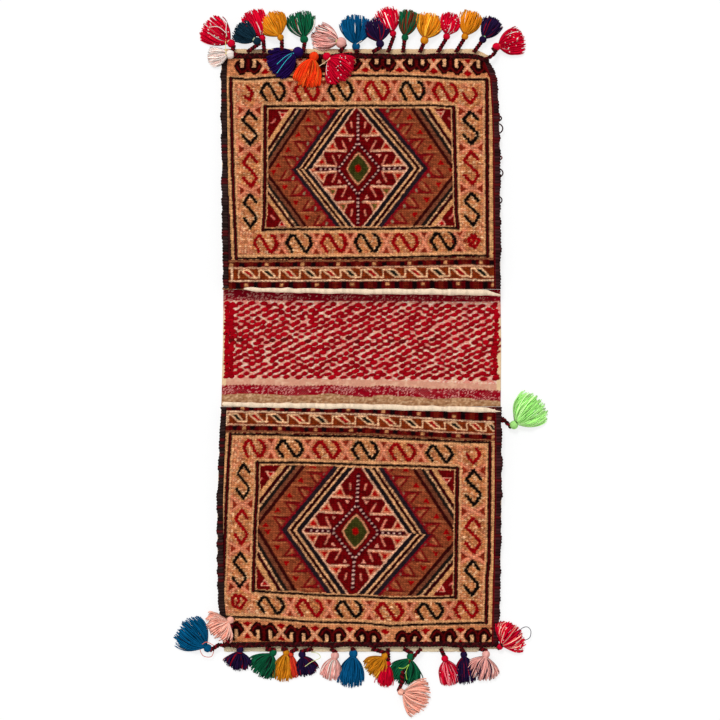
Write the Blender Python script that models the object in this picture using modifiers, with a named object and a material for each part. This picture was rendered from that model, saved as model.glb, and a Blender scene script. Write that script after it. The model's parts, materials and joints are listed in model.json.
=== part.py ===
"""Double saddle bag of flat-woven wool, laid flat with both faces up.

Metres, +Z up, +X across the bag, +Y along it. The origin is the middle of the bridge's underside.
Two pouches hang from a bridge that lies over the saddle. A pouch is a back cloth, a front panel, a rolled hem at
its mouth, two whip-stitched side seams and a braid across its closed end. Tassels swing from the braids.
"""

import math

import bpy
from mathutils import Euler, Vector

# Cloth and clearances
bag_width = 0.4200
cloth_thickness = 0.0030
panel_thickness = 0.0040
sewn_gap = 0.0003

# Bridge: the folds and the mouths, measured from the middle of the bag
fold_distance = 0.0390
mouth_distance = 0.0820
fold_edge_share = 0.60
fold_taper_share = 0.55

# Pouches
upper_pocket_depth = 0.3414
lower_pocket_depth = 0.3485
mouth_height = 0.0120
hem_radius = 0.0050
seam_width = 0.0120
seam_round = 0.0015
braid_radius = 0.0040
back_margin = 0.0080

# Tassels: a cord, a bound head and a skirt that flares from its neck to its end
cord_radius = 0.0022
tassel_length = 0.0500
cord_length = 0.0140
head_length = 0.0080
head_radius = 0.0050
neck_radius = 0.0038
skirt_radius = 0.0090
anchor_lift_deg = 15.0
seam_tassel_distance = 0.1095

ARC_STEPS = 6
TASSEL_SIDES = 10

# Colours, linear
WOOL_RED = (0.30, 0.030, 0.030)
WOOL_TAN = (0.58, 0.32, 0.12)
WOOL_CREAM = (0.80, 0.62, 0.40)
WOOL_DARK = (0.030, 0.010, 0.010)

YARNS = {
    "crimson": (0.60, 0.006, 0.030),
    "white_pink": (0.95, 0.70, 0.62),
    "teal": (0.004, 0.030, 0.060),
    "gold": (0.70, 0.28, 0.010),
    "green": (0.004, 0.090, 0.050),
    "dusty_pink": (0.72, 0.42, 0.36),
    "cerulean": (0.004, 0.130, 0.350),
    "navy": (0.010, 0.005, 0.060),
    "orange": (0.95, 0.090, 0.004),
    "salmon": (0.90, 0.26, 0.16),
    "lime": (0.20, 0.68, 0.080),
}

# Each tassel: colour, share of half the bag's width at which it hangs, heading in degrees from +X, and its whole
# length, skirt radius and cord length as shares of tassel_length, skirt_radius and cord_length.
UPPER_HANGING_SHARES = [
    ("crimson", -0.922, 123, 1.24, 1.0, 1.0),
    ("teal", -0.810, 98, 1.08, 1.0, 1.0),
    ("crimson", -0.692, 102, 1.4, 1.0, 1.6),
    ("gold", -0.564, 103, 1.12, 1.0, 1.0),
    ("green", -0.414, 95, 1.14, 1.05, 1.0),
    ("dusty_pink", -0.150, 130, 1.04, 1.05, 1.0),
    ("cerulean", -0.028, 94, 1.24, 1.05, 1.0),
    ("navy", 0.085, 88, 1.2, 1.0, 1.0),
    ("crimson", 0.193, 86, 1.36, 1.0, 1.5),
    ("green", 0.300, 81, 1.26, 1.0, 1.2),
    ("gold", 0.421, 71, 1.2, 1.0, 1.0),
    ("crimson", 0.550, 66, 1.24, 1.0, 1.2),
    ("gold", 0.678, 62, 1.24, 1.0, 1.2),
    ("navy", 0.807, 56, 1.28, 1.0, 1.2),
    ("crimson", 0.964, 34, 1.2, 1.1, 1.0),
]
UPPER_OVER_BRAID_SHARES = ("white_pink", -0.878, 187, 0.92, 1.0, 0.8)
UPPER_FLOPPED_SHARES = [
    ("navy", -0.450, 213, 1.0, 1.0, 0.8),
    ("orange", -0.335, 249, 1.08, 1.1, 0.8),
    ("crimson", -0.228, 307, 1.2, 1.1, 0.8),
]
LOWER_HANGING_SHARES = [
    ("navy", -0.878, 272, 0.9, 1.0, 0.8),
    ("green", -0.678, 256, 1.08, 1.0, 1.0),
    ("gold", -0.564, 268, 1.16, 1.0, 1.2),
    ("crimson", -0.457, 270, 1.0, 0.7, 1.0),
    ("navy", -0.350, 269, 1.1, 1.0, 1.0),
    ("dusty_pink", -0.214, 270, 1.2, 1.1, 1.0),
    ("cerulean", -0.064, 270, 1.28, 1.1, 1.0),
    ("gold", 0.078, 270, 1.14, 1.0, 1.2),
    ("crimson", 0.193, 270, 1.4, 1.0, 1.8),
    ("green", 0.307, 270, 1.14, 1.0, 1.4),
    ("salmon", 0.428, 267, 2.1, 1.3, 4.3),
    ("crimson", 0.571, 284, 1.14, 1.05, 1.0),
    ("navy", 0.714, 282, 1.24, 1.0, 1.4),
    ("dusty_pink", 0.850, 280, 1.12, 1.0, 1.0),
]
LOWER_OVER_SEAM_SHARES = ("salmon", -0.957, 101, 1.32, 1.0, 1.0)
LOWER_LEFT_END_SHARES = ("teal", -1.0, 153, 1.4, 1.3, 1.2)
LOWER_RIGHT_END_SHARES = ("crimson", 1.0, 0, 1.0, 1.3, 0.8)
SEAM_TASSEL_SHARES = ("lime", 1.0, 29, 1.53, 1.6, 0.8)


def clear_scene():
    for old in list(bpy.data.objects):
        bpy.data.objects.remove(old)


def wool(name, colour, roughness=0.9):
    """A matt woollen material."""
    mat = bpy.data.materials.new(name)
    mat.use_nodes = True
    shader = mat.node_tree.nodes["Principled BSDF"]
    shader.inputs["Base Color"].default_value = (*colour, 1.0)
    shader.inputs["Roughness"].default_value = roughness
    shader.inputs["Metallic"].default_value = 0.0
    return mat


def add(name, data, mat, collection):
    made = bpy.data.objects.new(name, data)
    made.data.materials.append(mat)
    collection.objects.link(made)
    return made


def axis_empty(name, place, collection):
    """An empty on a joint's axis, which the pieces of a moving body hang on."""
    made = bpy.data.objects.new(name, None)
    made.location = place
    collection.objects.link(made)
    return made


def carry(piece, axis):
    """Parents a piece to an axis empty and keeps the piece where it is."""
    above = axis
    while above is not None:
        piece.location = Vector(piece.location) - above.location
        above = above.parent
    piece.parent = axis


def arc(centre, radius, start_deg, end_deg, steps=ARC_STEPS):
    """Points on an arc in the (y, z) plane, both ends included."""
    turns = [math.radians(start_deg + (end_deg - start_deg) * i / steps) for i in range(steps + 1)]
    return [(centre[0] + radius * math.cos(t), centre[1] + radius * math.sin(t)) for t in turns]


def plate(name, outline, low_x, high_x, mat, collection):
    """A piece of even section: an outline of (y, z) points, drawn across the bag from low_x to high_x."""
    curve = bpy.data.curves.new(name, "CURVE")
    curve.dimensions = "2D"
    curve.fill_mode = "BOTH"
    curve.extrude = (high_x - low_x) / 2
    line = curve.splines.new("POLY")
    line.points.add(len(outline) - 1)
    for point, (y, z) in zip(line.points, outline):
        point.co = (y, z, 0.0, 1.0)
    line.use_cyclic_u = True
    made = add(name, curve, mat, collection)
    made.location = ((low_x + high_x) / 2, 0.0, 0.0)
    made.rotation_euler = Euler((math.radians(90), 0.0, math.radians(90)))
    return made


def rounded(made, width, segments=2):
    """Welds a plate's caps and rounds its edges."""
    weld = made.modifiers.new("Weld", "WELD")
    weld.merge_threshold = 0.0001
    bevel = made.modifiers.new("Bevel", "BEVEL")
    bevel.width = width
    bevel.segments = segments
    bevel.limit_method = "ANGLE"
    return made


def roll(name, y, z, radius, length, mat, collection):
    """A round bar across the bag."""
    curve = bpy.data.curves.new(name, "CURVE")
    curve.dimensions = "3D"
    curve.bevel_depth = radius
    curve.bevel_resolution = 2
    curve.use_fill_caps = True
    line = curve.splines.new("POLY")
    line.points.add(1)
    line.points[0].co = (-length / 2, 0.0, 0.0, 1.0)
    line.points[1].co = (length / 2, 0.0, 0.0, 1.0)
    made = add(name, curve, mat, collection)
    made.location = (0.0, y, z)
    return made


def tassel_profile(length, skirt, cord):
    """Half section of a tassel as (radius, height), from the round tip of its cord down to its end."""
    head_end = -cord - head_length
    tip = cord_radius * math.sin(math.radians(45))
    return [
        (0.0, cord_radius),
        (tip, tip),
        (cord_radius, 0.0),
        (cord_radius, -cord),
        (head_radius, -cord - head_length / 3),
        (neck_radius, head_end),
        (skirt, head_end - skirt),
        (skirt, -length + cord_radius),
        (skirt - cord_radius, -length),
        (0.0, -length),
    ]


def tassel(name, place, kind, rise, mat, collection):
    """A turned tassel that hangs from place. rise is the sine of the angle at which it lies above level."""
    _, _, heading_deg, length_share, skirt_share, cord_share = kind
    length = tassel_length * length_share
    profile = tassel_profile(length, skirt_radius * skirt_share, cord_length * cord_share)
    mesh = bpy.data.meshes.new(name)
    edges = [(i, i + 1) for i in range(len(profile) - 1)]
    mesh.from_pydata([(radius, 0.0, height) for radius, height in profile], edges, [])
    made = add(name, mesh, mat, collection)
    turned = made.modifiers.new("Screw", "SCREW")
    turned.steps = TASSEL_SIDES
    turned.render_steps = TASSEL_SIDES
    turned.use_merge_vertices = True
    turned.merge_threshold = 0.0001
    level = math.sqrt(1 - rise * rise)
    heading = math.radians(heading_deg)
    along = Vector((level * math.cos(heading), level * math.sin(heading), rise))
    made.rotation_mode = "QUATERNION"
    made.rotation_quaternion = along.to_track_quat("-Z", "Y")
    made.location = place
    return made


def rise_over(kind, start_z, floor_z, slope=0.0):
    """The sine of the angle that keeps a tassel's skirt just above a surface that climbs at slope."""
    _, _, _, length_share, skirt_share, cord_share = kind
    skirt = skirt_radius * skirt_share
    lift = floor_z + skirt + sewn_gap - start_z
    reach = cord_length * cord_share + head_length + skirt if lift > 0 else tassel_length * length_share
    return lift / reach + slope


# Heights and reaches that the pieces of a pouch share
half_width = bag_width / 2
seat_z = cloth_thickness + sewn_gap
braid_z = seat_z + braid_radius
panel_top_z = seat_z + panel_thickness
anchor_reach = braid_radius + sewn_gap + cord_radius
anchor_out = anchor_reach * math.cos(math.radians(anchor_lift_deg))
anchor_up = anchor_reach * math.sin(math.radians(anchor_lift_deg))
panel_start = mouth_distance + 2 * hem_radius + sewn_gap


def build_bridge(mats, collection):
    """A strip with half-round edges, each on the axis of a fold."""
    middle = cloth_thickness / 2
    ends = arc((fold_distance, middle), middle, -90, 90) + arc((-fold_distance, middle), middle, 90, 270)
    plate("bridge_cloth", ends, -half_width, half_width, mats["red"], collection)


def back_outline(side, end_y):
    """Back cloth: its inner edge is hollow round the fold's axis and tapers, so that it can turn either way."""
    middle = cloth_thickness / 2
    hollow = middle + sewn_gap
    spread = math.degrees(math.asin(middle * fold_edge_share / hollow))
    full_y = fold_distance + hollow + cloth_thickness * fold_taper_share
    outline = arc((fold_distance, middle), hollow, spread, -spread)
    outline += [(full_y, 0.0)] + arc((end_y - middle, middle), middle, -90, 90) + [(full_y, cloth_thickness)]
    return [(side * y, z) for y, z in outline]


def build_pouch(label, side, pocket_depth, mats, collection):
    """One pouch, with side +1 for the upper and -1 for the lower.

    Returns the empty on its fold, the empty on its mouth's axis and its braid's distance from the middle.
    """
    panel_end = panel_start + pocket_depth
    braid_distance = panel_end + sewn_gap + braid_radius
    back_end = braid_distance + braid_radius + back_margin
    mouth_z = seat_z + mouth_height

    fold = axis_empty(f"{label}_fold_axis", (0.0, side * fold_distance, cloth_thickness / 2), collection)
    opening = axis_empty(f"{label}_mouth_axis", (0.0, side * braid_distance, braid_z), collection)
    carry(opening, fold)

    outline = back_outline(side, back_end)
    back = plate(f"{label}_back_cloth", outline, -half_width, half_width, mats["tan"], collection)

    def wedge(start):
        """Side view of what fills or closes the pocket: low at the closed end and high at the mouth."""
        return [
            (side * start, mouth_z),
            (side * panel_end, seat_z),
            (side * panel_end, panel_top_z),
            (side * start, mouth_z + panel_thickness),
        ]

    panel_half = half_width - seam_width - sewn_gap
    panel = plate(f"{label}_front_panel", wedge(panel_start), -panel_half, panel_half, mats["red"], collection)

    hem_y = side * (mouth_distance + hem_radius)
    hem_z = mouth_z + panel_thickness / 2
    hem = roll(f"{label}_mouth_hem", hem_y, hem_z, hem_radius, bag_width, mats["cream"], collection)

    seam_outline = wedge(panel_start + sewn_gap)
    seam_outline[0] = (seam_outline[0][0], seat_z)
    seams = []
    for name, low_x in (("left", -half_width), ("right", half_width - seam_width)):
        high_x = low_x + seam_width
        seam = plate(f"{label}_{name}_seam", seam_outline, low_x, high_x, mats["dark"], collection)
        seams.append(rounded(seam, seam_round))

    braid_y = side * braid_distance
    braid = roll(f"{label}_end_braid", braid_y, braid_z, braid_radius, bag_width, mats["dark"], collection)

    for piece in [back, braid] + seams:
        carry(piece, fold)
    for piece in (panel, hem):
        carry(piece, opening)
    return fold, opening, braid_distance


def build_tassels(label, side, pouch, hanging, over_braid, flopped, mats, collection):
    """The tassels along one braid.

    Those that hang start outside the braid, and those that have flopped over start on top of it. Each has its
    origin on its own hinge, in the round tip of its cord.
    """
    fold, opening, braid_distance = pouch
    top_z = braid_z + anchor_reach
    slope = mouth_height / upper_pocket_depth
    number = 0
    for kinds, axis, reach, start_z, floor_z, climb in (
        (hanging, fold, anchor_out, braid_z + anchor_up, 0.0, 0.0),
        (over_braid, fold, 0.0, top_z, braid_z + braid_radius, 0.0),
        (flopped, opening, 0.0, top_z, panel_top_z, slope),
    ):
        for kind in kinds:
            number += 1
            place = (kind[1] * half_width, side * (braid_distance + reach), start_z)
            name = f"{label}_tassel_{number:02d}_{kind[0]}"
            rise = rise_over(kind, start_z, floor_z, climb)
            carry(tassel(name, place, kind, rise, mats[kind[0]], collection), axis)
    return number


def build_side_tassels(pouch, number, mats, collection):
    """The lower pouch's tassels at its braid's two ends, over its left seam and on its right seam."""
    fold, _, braid_distance = pouch
    beside = half_width + sewn_gap + cord_radius
    seam_z = seat_z + (mouth_height + panel_thickness) / 2
    over_z = braid_z + anchor_reach
    slope = mouth_height / lower_pocket_depth
    over_x = LOWER_OVER_SEAM_SHARES[1] * half_width
    for kind, x, distance, z, floor_z, climb in (
        (LOWER_OVER_SEAM_SHARES, over_x, braid_distance, over_z, panel_top_z, slope),
        (LOWER_LEFT_END_SHARES, -beside, braid_distance, braid_z, 0.0, 0.0),
        (LOWER_RIGHT_END_SHARES, beside, braid_distance, braid_z, 0.0, 0.0),
        (SEAM_TASSEL_SHARES, beside, seam_tassel_distance, seam_z, 0.0, 0.0),
    ):
        number += 1
        rise = rise_over(kind, z, floor_z, climb)
        name = f"lower_tassel_{number:02d}_{kind[0]}"
        carry(tassel(name, (x, -distance, z), kind, rise, mats[kind[0]], collection), fold)


clear_scene()
bag = bpy.data.collections.new("saddle_bag")
bpy.context.scene.collection.children.link(bag)

wools = {
    "red": wool("wool_red", WOOL_RED),
    "tan": wool("wool_tan", WOOL_TAN),
    "cream": wool("wool_cream", WOOL_CREAM),
    "dark": wool("wool_dark", WOOL_DARK),
}
wools.update({name: wool(f"yarn_{name}", colour, 0.8) for name, colour in YARNS.items()})

build_bridge(wools, bag)
upper = build_pouch("upper", 1, upper_pocket_depth, wools, bag)
lower = build_pouch("lower", -1, lower_pocket_depth, wools, bag)
over_braid = [UPPER_OVER_BRAID_SHARES]
build_tassels("upper", 1, upper, UPPER_HANGING_SHARES, over_braid, UPPER_FLOPPED_SHARES, wools, bag)
count = build_tassels("lower", -1, lower, LOWER_HANGING_SHARES, [], [], wools, bag)
build_side_tassels(lower, count, wools, bag)
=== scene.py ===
# %% [markdown]
# # A woven double saddle bag
# This bag is laid flat with both faces up. It has two pouches of soumak weave, a bridge of red weft floats
# between their mouths, and rows of yarn tassels. The frame holds plain solids, and this lesson dresses them
# as wool. First the frame is loaded and its box is kept, because the dressed bag has to stay within it.

# %% Load the frame
import json
import math
import bpy
import numpy as np
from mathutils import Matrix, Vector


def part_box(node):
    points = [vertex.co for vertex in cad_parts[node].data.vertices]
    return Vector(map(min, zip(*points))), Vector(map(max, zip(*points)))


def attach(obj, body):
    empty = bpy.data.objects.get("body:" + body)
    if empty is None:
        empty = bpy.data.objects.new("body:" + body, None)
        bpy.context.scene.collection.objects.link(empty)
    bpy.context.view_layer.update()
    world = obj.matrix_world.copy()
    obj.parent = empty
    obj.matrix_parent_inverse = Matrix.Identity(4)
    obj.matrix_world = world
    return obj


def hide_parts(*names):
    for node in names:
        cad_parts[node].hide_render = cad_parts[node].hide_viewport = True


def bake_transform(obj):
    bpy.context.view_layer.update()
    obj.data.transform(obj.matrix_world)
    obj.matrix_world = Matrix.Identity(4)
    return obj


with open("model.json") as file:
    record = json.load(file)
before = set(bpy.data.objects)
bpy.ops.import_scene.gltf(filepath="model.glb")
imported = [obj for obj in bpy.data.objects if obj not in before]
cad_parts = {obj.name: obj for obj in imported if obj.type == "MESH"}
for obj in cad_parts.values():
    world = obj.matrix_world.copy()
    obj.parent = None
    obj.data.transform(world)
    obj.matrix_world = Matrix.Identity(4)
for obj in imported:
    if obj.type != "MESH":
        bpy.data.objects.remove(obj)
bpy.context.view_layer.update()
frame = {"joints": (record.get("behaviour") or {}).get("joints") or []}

# %% [markdown]
# Places on cloth are easiest to name by the squares of a plan drawn at 1.5 mm to a square, with its columns
# counted to the right and its rows counted down. Two helpers turn a column and a row into metres, and a
# third turns colours as the eye names them (0 to 255) into the linear numbers that a renderer wants.

# %% The plan's squares and the dyes
SQUARE = 0.0015
MIDDLE_COLUMN, MIDDLE_ROW = 361.0, 348.0


def across(column):
    """Metres to the right of the middle: (column - middle) squares."""
    return (np.asarray(column, float) - MIDDLE_COLUMN) * SQUARE


def along(row):
    """Metres up from the middle: (middle - row) squares."""
    return (MIDDLE_ROW - np.asarray(row, float)) * SQUARE


def dye(red, green, blue):
    """Linear colour of an sRGB triple: ((c + 0.055) / 1.055) to the power 2.4, or c / 12.92 near black."""
    c = np.array([red, green, blue], float) / 255.0
    return np.where(c > 0.04045, ((c + 0.055) / 1.055) ** 2.4, c / 12.92)


TAN = dye(210, 130, 84)
ZIGZAG_BROWN = dye(124, 44, 12)
CREAM = dye(246, 212, 172)
WHITE = dye(245, 235, 225)
print("dyes ready")

# %% [markdown]
# Every piece here is a grid of points carried over a surface, so one builder serves them all. It takes
# stacks of grids, joins neighbours into four-sided faces, closes round sections, and writes the arrays
# straight into a mesh. A colour kept at each point travels with the cloth when it folds, which a pattern
# fixed in space wouldn't do.

# %% Grids into meshes
WIDE_RING = 60


def weave(points, ring=False, capped=False, flip=False):
    """Vertices and faces of k grids of n by m points.

    Point (i, j) joins (i, j + 1), (i + 1, j + 1) and (i + 1, j). ring joins the last column to the first,
    and capped closes the first and last rows of a ring: with one face each, or with triangles where it is
    wide.
    """
    k, n, m = points.shape[:3]
    number = np.arange(k * n * m).reshape(k, n, m)
    here = number if ring else number[:, :, :-1]
    beside = np.roll(number, -1, axis=2) if ring else number[:, :, 1:]
    quads = np.stack([here[:, :-1], beside[:, :-1], beside[:, 1:], here[:, 1:]], -1).reshape(-1, 4)
    faces = [quads]
    if capped and m > WIDE_RING:
        # a wide flat ring is closed by small triangles between its upper and its lower edge
        j = np.arange(m // 2 - 1)
        rungs = np.concatenate([np.stack([j, j + 1, m - 2 - j], -1),
                                np.stack([j, m - 2 - j, m - 1 - j], -1)])
        faces += [number[:, 0][:, rungs].reshape(-1, 3)[:, ::-1], number[:, -1][:, rungs].reshape(-1, 3)]
    elif capped:
        faces += [number[:, 0, ::-1], number[:, -1, :]]
    if flip:
        faces = [f[:, ::-1] for f in faces]
    return points.reshape(-1, 3), faces


def make(name, parts, material, dyes=None, smooth=True):
    """One mesh object of several woven parts, with the colour at every vertex, and at will its alpha, kept
    as dye."""
    shift, verts, loops, starts, rounded, at = 0, [], [], [], [], 0
    for points, faces in parts:
        for f in faces:
            loops.append((f + shift).ravel())
            starts.append(at + np.arange(len(f)) * f.shape[1])
            rounded.append(np.full(len(f), smooth and f.shape[1] == 4))
            at += f.size
        verts.append(points)
        shift += len(points)
    verts, loops, starts = np.concatenate(verts), np.concatenate(loops), np.concatenate(starts)
    mesh = bpy.data.meshes.new(name)
    mesh.vertices.add(len(verts))
    mesh.vertices.foreach_set("co", verts.astype(np.float32).ravel())
    mesh.loops.add(len(loops))
    mesh.loops.foreach_set("vertex_index", loops.astype(np.int32))
    mesh.polygons.add(len(starts))
    mesh.polygons.foreach_set("loop_start", starts.astype(np.int32))
    mesh.update(calc_edges=True)
    mesh.polygons.foreach_set("use_smooth", np.concatenate(rounded))
    if dyes is not None:
        dyes = dyes.reshape(-1, dyes.shape[-1])
        rgba = np.ones((len(verts), 4), np.float32)
        rgba[:, :dyes.shape[1]] = dyes
        mesh.color_attributes.new("dye", "FLOAT_COLOR", "POINT").data.foreach_set("color", rgba.ravel())
    mesh.materials.append(material)
    made = bpy.data.objects.new(name, mesh)
    bpy.context.scene.collection.objects.link(made)
    return made


def unit(v):
    """v over its length."""
    return v / np.maximum(np.linalg.norm(v, axis=-1, keepdims=True), 1e-12)


def tube(path, radius, sides=6, turn=None, flat=1.0):
    """Rings of k tubes along paths of shape (k, n, 3).

    A ring's point is centre + radius (cos a S + sin a U), where S is level and across the path, U is S
    turned a quarter about it, and a goes round in equal steps from turn. flat scales the part along U.
    """
    forward = unit(np.gradient(path, axis=1))
    side = np.cross(forward, [0.0, 0.0, 1.0])
    weak = np.linalg.norm(side, axis=-1, keepdims=True) < 0.05
    side = unit(np.where(weak, np.cross(forward, [0.0, 1.0, 0.0]), side))
    up = np.cross(side, forward)
    angle = np.arange(sides) * (2 * math.pi / sides)
    angle = angle[None, None, :] + (0 if turn is None else turn[..., None])
    radius = np.broadcast_to(radius, path.shape[:2])[..., None, None]
    ring = np.cos(angle)[..., None] * side[:, :, None] + flat * np.sin(angle)[..., None] * up[:, :, None]
    return path[:, :, None] + radius * ring


def value_noise(x, y, seed):
    """Smooth noise from 0 to 1: random heights at whole numbers, joined by t t (3 - 2 t) both ways."""
    rng = np.random.default_rng(seed)
    table = rng.random((64, 64))
    xi, yi = np.floor(x).astype(int), np.floor(y).astype(int)
    fx, fy = x - xi, y - yi
    fx, fy = fx * fx * (3 - 2 * fx), fy * fy * (3 - 2 * fy)
    a, b = table[xi % 64, yi % 64], table[(xi + 1) % 64, yi % 64]
    c, d = table[xi % 64, (yi + 1) % 64], table[(xi + 1) % 64, (yi + 1) % 64]
    return (a * (1 - fx) + b * fx) * (1 - fy) + (c * (1 - fx) + d * fx) * fy


print("mesh helpers ready")

# %% [markdown]
# Shader maths reads best as sums. The class below wraps one socket, so that adding or multiplying two wires
# adds the Math node for it, and its method node makes any other node. Wool needs little else: a colour from
# the cloth's own attribute, a stitch pattern worked out from Object coordinates, which also darkens the
# colour at the stitches' edges as painted shade, and a bump from the same stitches.

# %% A wire that does sums
class Wire:
    """A socket of a material's node tree. Sums of wires and numbers add Math nodes."""

    def __init__(self, tree, socket=None):
        self.tree = tree
        self.socket = socket

    def node(self, kind, settings=None, values=None, out=0):
        """Adds a node: its settings first, then its sockets from wires or plain values. Gives one output."""
        made = self.tree.nodes.new(kind)
        for name, value in (settings or {}).items():
            setattr(made, name, value)
        for name, value in (values or {}).items():
            if isinstance(value, Wire):
                self.tree.links.new(value.socket, made.inputs[name])
            else:
                made.inputs[name].default_value = value
        return Wire(self.tree, made.outputs[out])

    def maths(self, operation, *terms):
        return self.node("ShaderNodeMath", {"operation": operation}, dict(enumerate(terms)))

    def __add__(self, other):
        return self.maths("ADD", self, other)

    def __sub__(self, other):
        return self.maths("SUBTRACT", self, other)

    def __rsub__(self, other):
        return self.maths("SUBTRACT", other, self)

    def __mul__(self, other):
        return self.maths("MULTIPLY", self, other)

    def __truediv__(self, other):
        return self.maths("DIVIDE", self, other)

    __radd__ = __add__
    __rmul__ = __mul__

    def floor(self):
        return self.maths("FLOOR", self)

    def fraction(self):
        return self.maths("FRACT", self)

    def mix(self, first, second, blend="MIX"):
        """A colour from first, where this wire is 0, to second, where it is 1."""
        values = {0: self, 6: first, 7: second}
        return self.node("ShaderNodeMix", {"data_type": "RGBA", "blend_type": blend}, values, out=2)

    def shaded(self, amount):
        """This colour times a grey amount, through Vector Math."""
        grey = self.node("ShaderNodeCombineXYZ", None, {0: amount, 1: amount, 2: amount})
        return self.node("ShaderNodeVectorMath", {"operation": "MULTIPLY"}, {0: self, 1: grey})


def cloth_material(name, finish):
    """A new matt material. finish gets a starting wire and returns (colour, bump height)."""
    mat = bpy.data.materials.new(name)
    mat.use_nodes = True
    tree = mat.node_tree
    shader = tree.nodes["Principled BSDF"]
    shader.inputs["Roughness"].default_value = 0.92
    shader.inputs["Specular IOR Level"].default_value = 0.02
    wire = Wire(tree)
    colour, height, depth = finish(wire)
    bump = wire.node("ShaderNodeBump", None, {"Strength": 0.7, "Distance": depth, "Height": height})
    tree.links.new(colour.socket, shader.inputs["Base Color"])
    tree.links.new(bump.socket, shader.inputs["Normal"])
    return mat


def stitches(wire, width, height, slant):
    """Brick rows of slanted pillow stitches, from Object coordinates.

    v = y / height and u = (x + slant y) / width + half of (row mod 2). A stitch's height is the product of
    1 - (2 f - 1) squared for the fractions f of u and v, and its number seeds a random grey.
    """
    place = wire.node("ShaderNodeTexCoord", out=3)
    x = wire.node("ShaderNodeSeparateXYZ", None, {0: place}, out=0)
    y = wire.node("ShaderNodeSeparateXYZ", None, {0: place}, out=1)
    wobble = wire.node("ShaderNodeTexNoise", None, {"Vector": place, "Scale": 220.0, "Detail": 1.0})
    v = y / height + wobble * 0.8
    row = v.floor()
    u = (x + y * slant) / width + row * 0.5 + wobble * 0.6
    across_it, up_it = u.fraction() * 2 - 1, v.fraction() * 2 - 1
    pillow = (1 - across_it * across_it) * (1 - up_it * up_it)
    cell = wire.node("ShaderNodeCombineXYZ", None, {0: u.floor(), 1: row})
    grain = wire.node("ShaderNodeTexWhiteNoise", {"noise_dimensions": "2D"}, {"Vector": cell})
    return pillow, grain, place


def from_dye(wire):
    return wire.node("ShaderNodeAttribute", {"attribute_name": "dye"})


def soumak_finish(wire):
    """Dyed yarn in slanted stitches: each one a little lighter or darker, with faint cloudy bands of dye,
    and painted shade that darkens each stitch towards its edges.
    """
    pillow, grain, place = stitches(wire, 0.0042, 0.0027, 0.7)
    clouds = wire.node("ShaderNodeTexNoise", None, {"Vector": place, "Scale": 26.0, "Detail": 3.0})
    # pillow * 0.56 is painted shade: the colour falls towards the edges of each stitch, where the stitches
    # meet
    amount = 0.30 + pillow * 0.56 + grain * 0.66 + clouds * 0.14
    return from_dye(wire).shaded(amount), pillow, 0.0010


def plain_finish(wire):
    """A fine plain weave, with a fleck of dust here and there, and painted shade that darkens each thread
    towards its edges.
    """
    pillow, grain, place = stitches(wire, 0.0018, 0.0011, 0.0)
    clouds = wire.node("ShaderNodeTexNoise", None, {"Vector": place, "Scale": 18.0, "Detail": 4.0})
    # pillow * 0.24 is painted shade: the colour falls towards the edges of each thread, where the threads
    # meet
    amount = 0.72 + pillow * 0.24 + grain * 0.16 + clouds * 0.12
    return from_dye(wire).shaded(amount), pillow, 0.0004


def hatched_finish(wire):
    """The plain weave, and where the dye's alpha is low, pale threads that run slanting and turn back every
    33 mm."""
    colour, pillow, depth = plain_finish(wire)
    place = wire.node("ShaderNodeTexCoord", out=3)
    x = wire.node("ShaderNodeSeparateXYZ", None, {0: place}, out=0)
    y = wire.node("ShaderNodeSeparateXYZ", None, {0: place}, out=1)
    turned_x = x.maths("PINGPONG", x + 0.004, 0.033)
    thread = ((turned_x * 0.9 + y) / 0.0033).fraction()
    mask = 1 - wire.node("ShaderNodeAttribute", {"attribute_name": "dye"}, out=3)
    pale = mask * thread.maths("GREATER_THAN", thread, 0.64)
    return pale.mix(colour, (*map(float, dye(250, 186, 176)), 1.0)), pillow, depth


def yarn_finish(wire):
    """Spun yarn: fine fibres drawn out along it, and soft blotches of stronger and weaker dye."""
    place = wire.node("ShaderNodeTexCoord", out=3)
    fibres = wire.node("ShaderNodeTexNoise", None, {"Vector": place, "Scale": 1400.0, "Detail": 2.0})
    blotch = wire.node("ShaderNodeTexNoise", None, {"Vector": place, "Scale": 120.0, "Detail": 2.0})
    amount = 0.62 + fibres * 0.34 + blotch * 0.40
    return from_dye(wire).shaded(amount), fibres, 0.0003


soumak = cloth_material("soumak weave", soumak_finish)
plain = cloth_material("plain weave", plain_finish)
hatched = cloth_material("hatched weave", hatched_finish)
yarn = cloth_material("spun yarn", yarn_finish)
print("materials", [m.name for m in (soumak, plain, hatched, yarn)])

# %% [markdown]
# The camera looks straight down, like somebody standing over the bag, from three metres up so that its
# thickness hardly leans. The light is a bright even sky with one wide soft lamp from above the upper pouch.
# A white wool thread under it would render white, so every dye shows as it is written.

# %% Camera, light and floor
camera = bpy.data.objects.new("camera", bpy.data.cameras.new("camera"))
bpy.context.scene.collection.objects.link(camera)
camera.data.lens, camera.data.sensor_width = 100.0, 36.0
plan_width = 720 * SQUARE
camera.location = (across(360), along(360), plan_width * camera.data.lens / camera.data.sensor_width + 0.010)
camera.data.clip_end = 50.0
bpy.context.scene.camera = camera
bpy.context.scene.view_settings.view_transform = "Standard"



def white_for(wire):
    """1 for rays from the camera, glossy rays and rays passed through, and 0 for those that light the
    cloth."""
    seen = wire.node("ShaderNodeLightPath", out=0)
    glossy = wire.node("ShaderNodeLightPath", out=3)
    passing = wire.node("ShaderNodeLightPath", out=6)
    return wire.maths("MINIMUM", seen + glossy + passing, 1.0)


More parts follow.
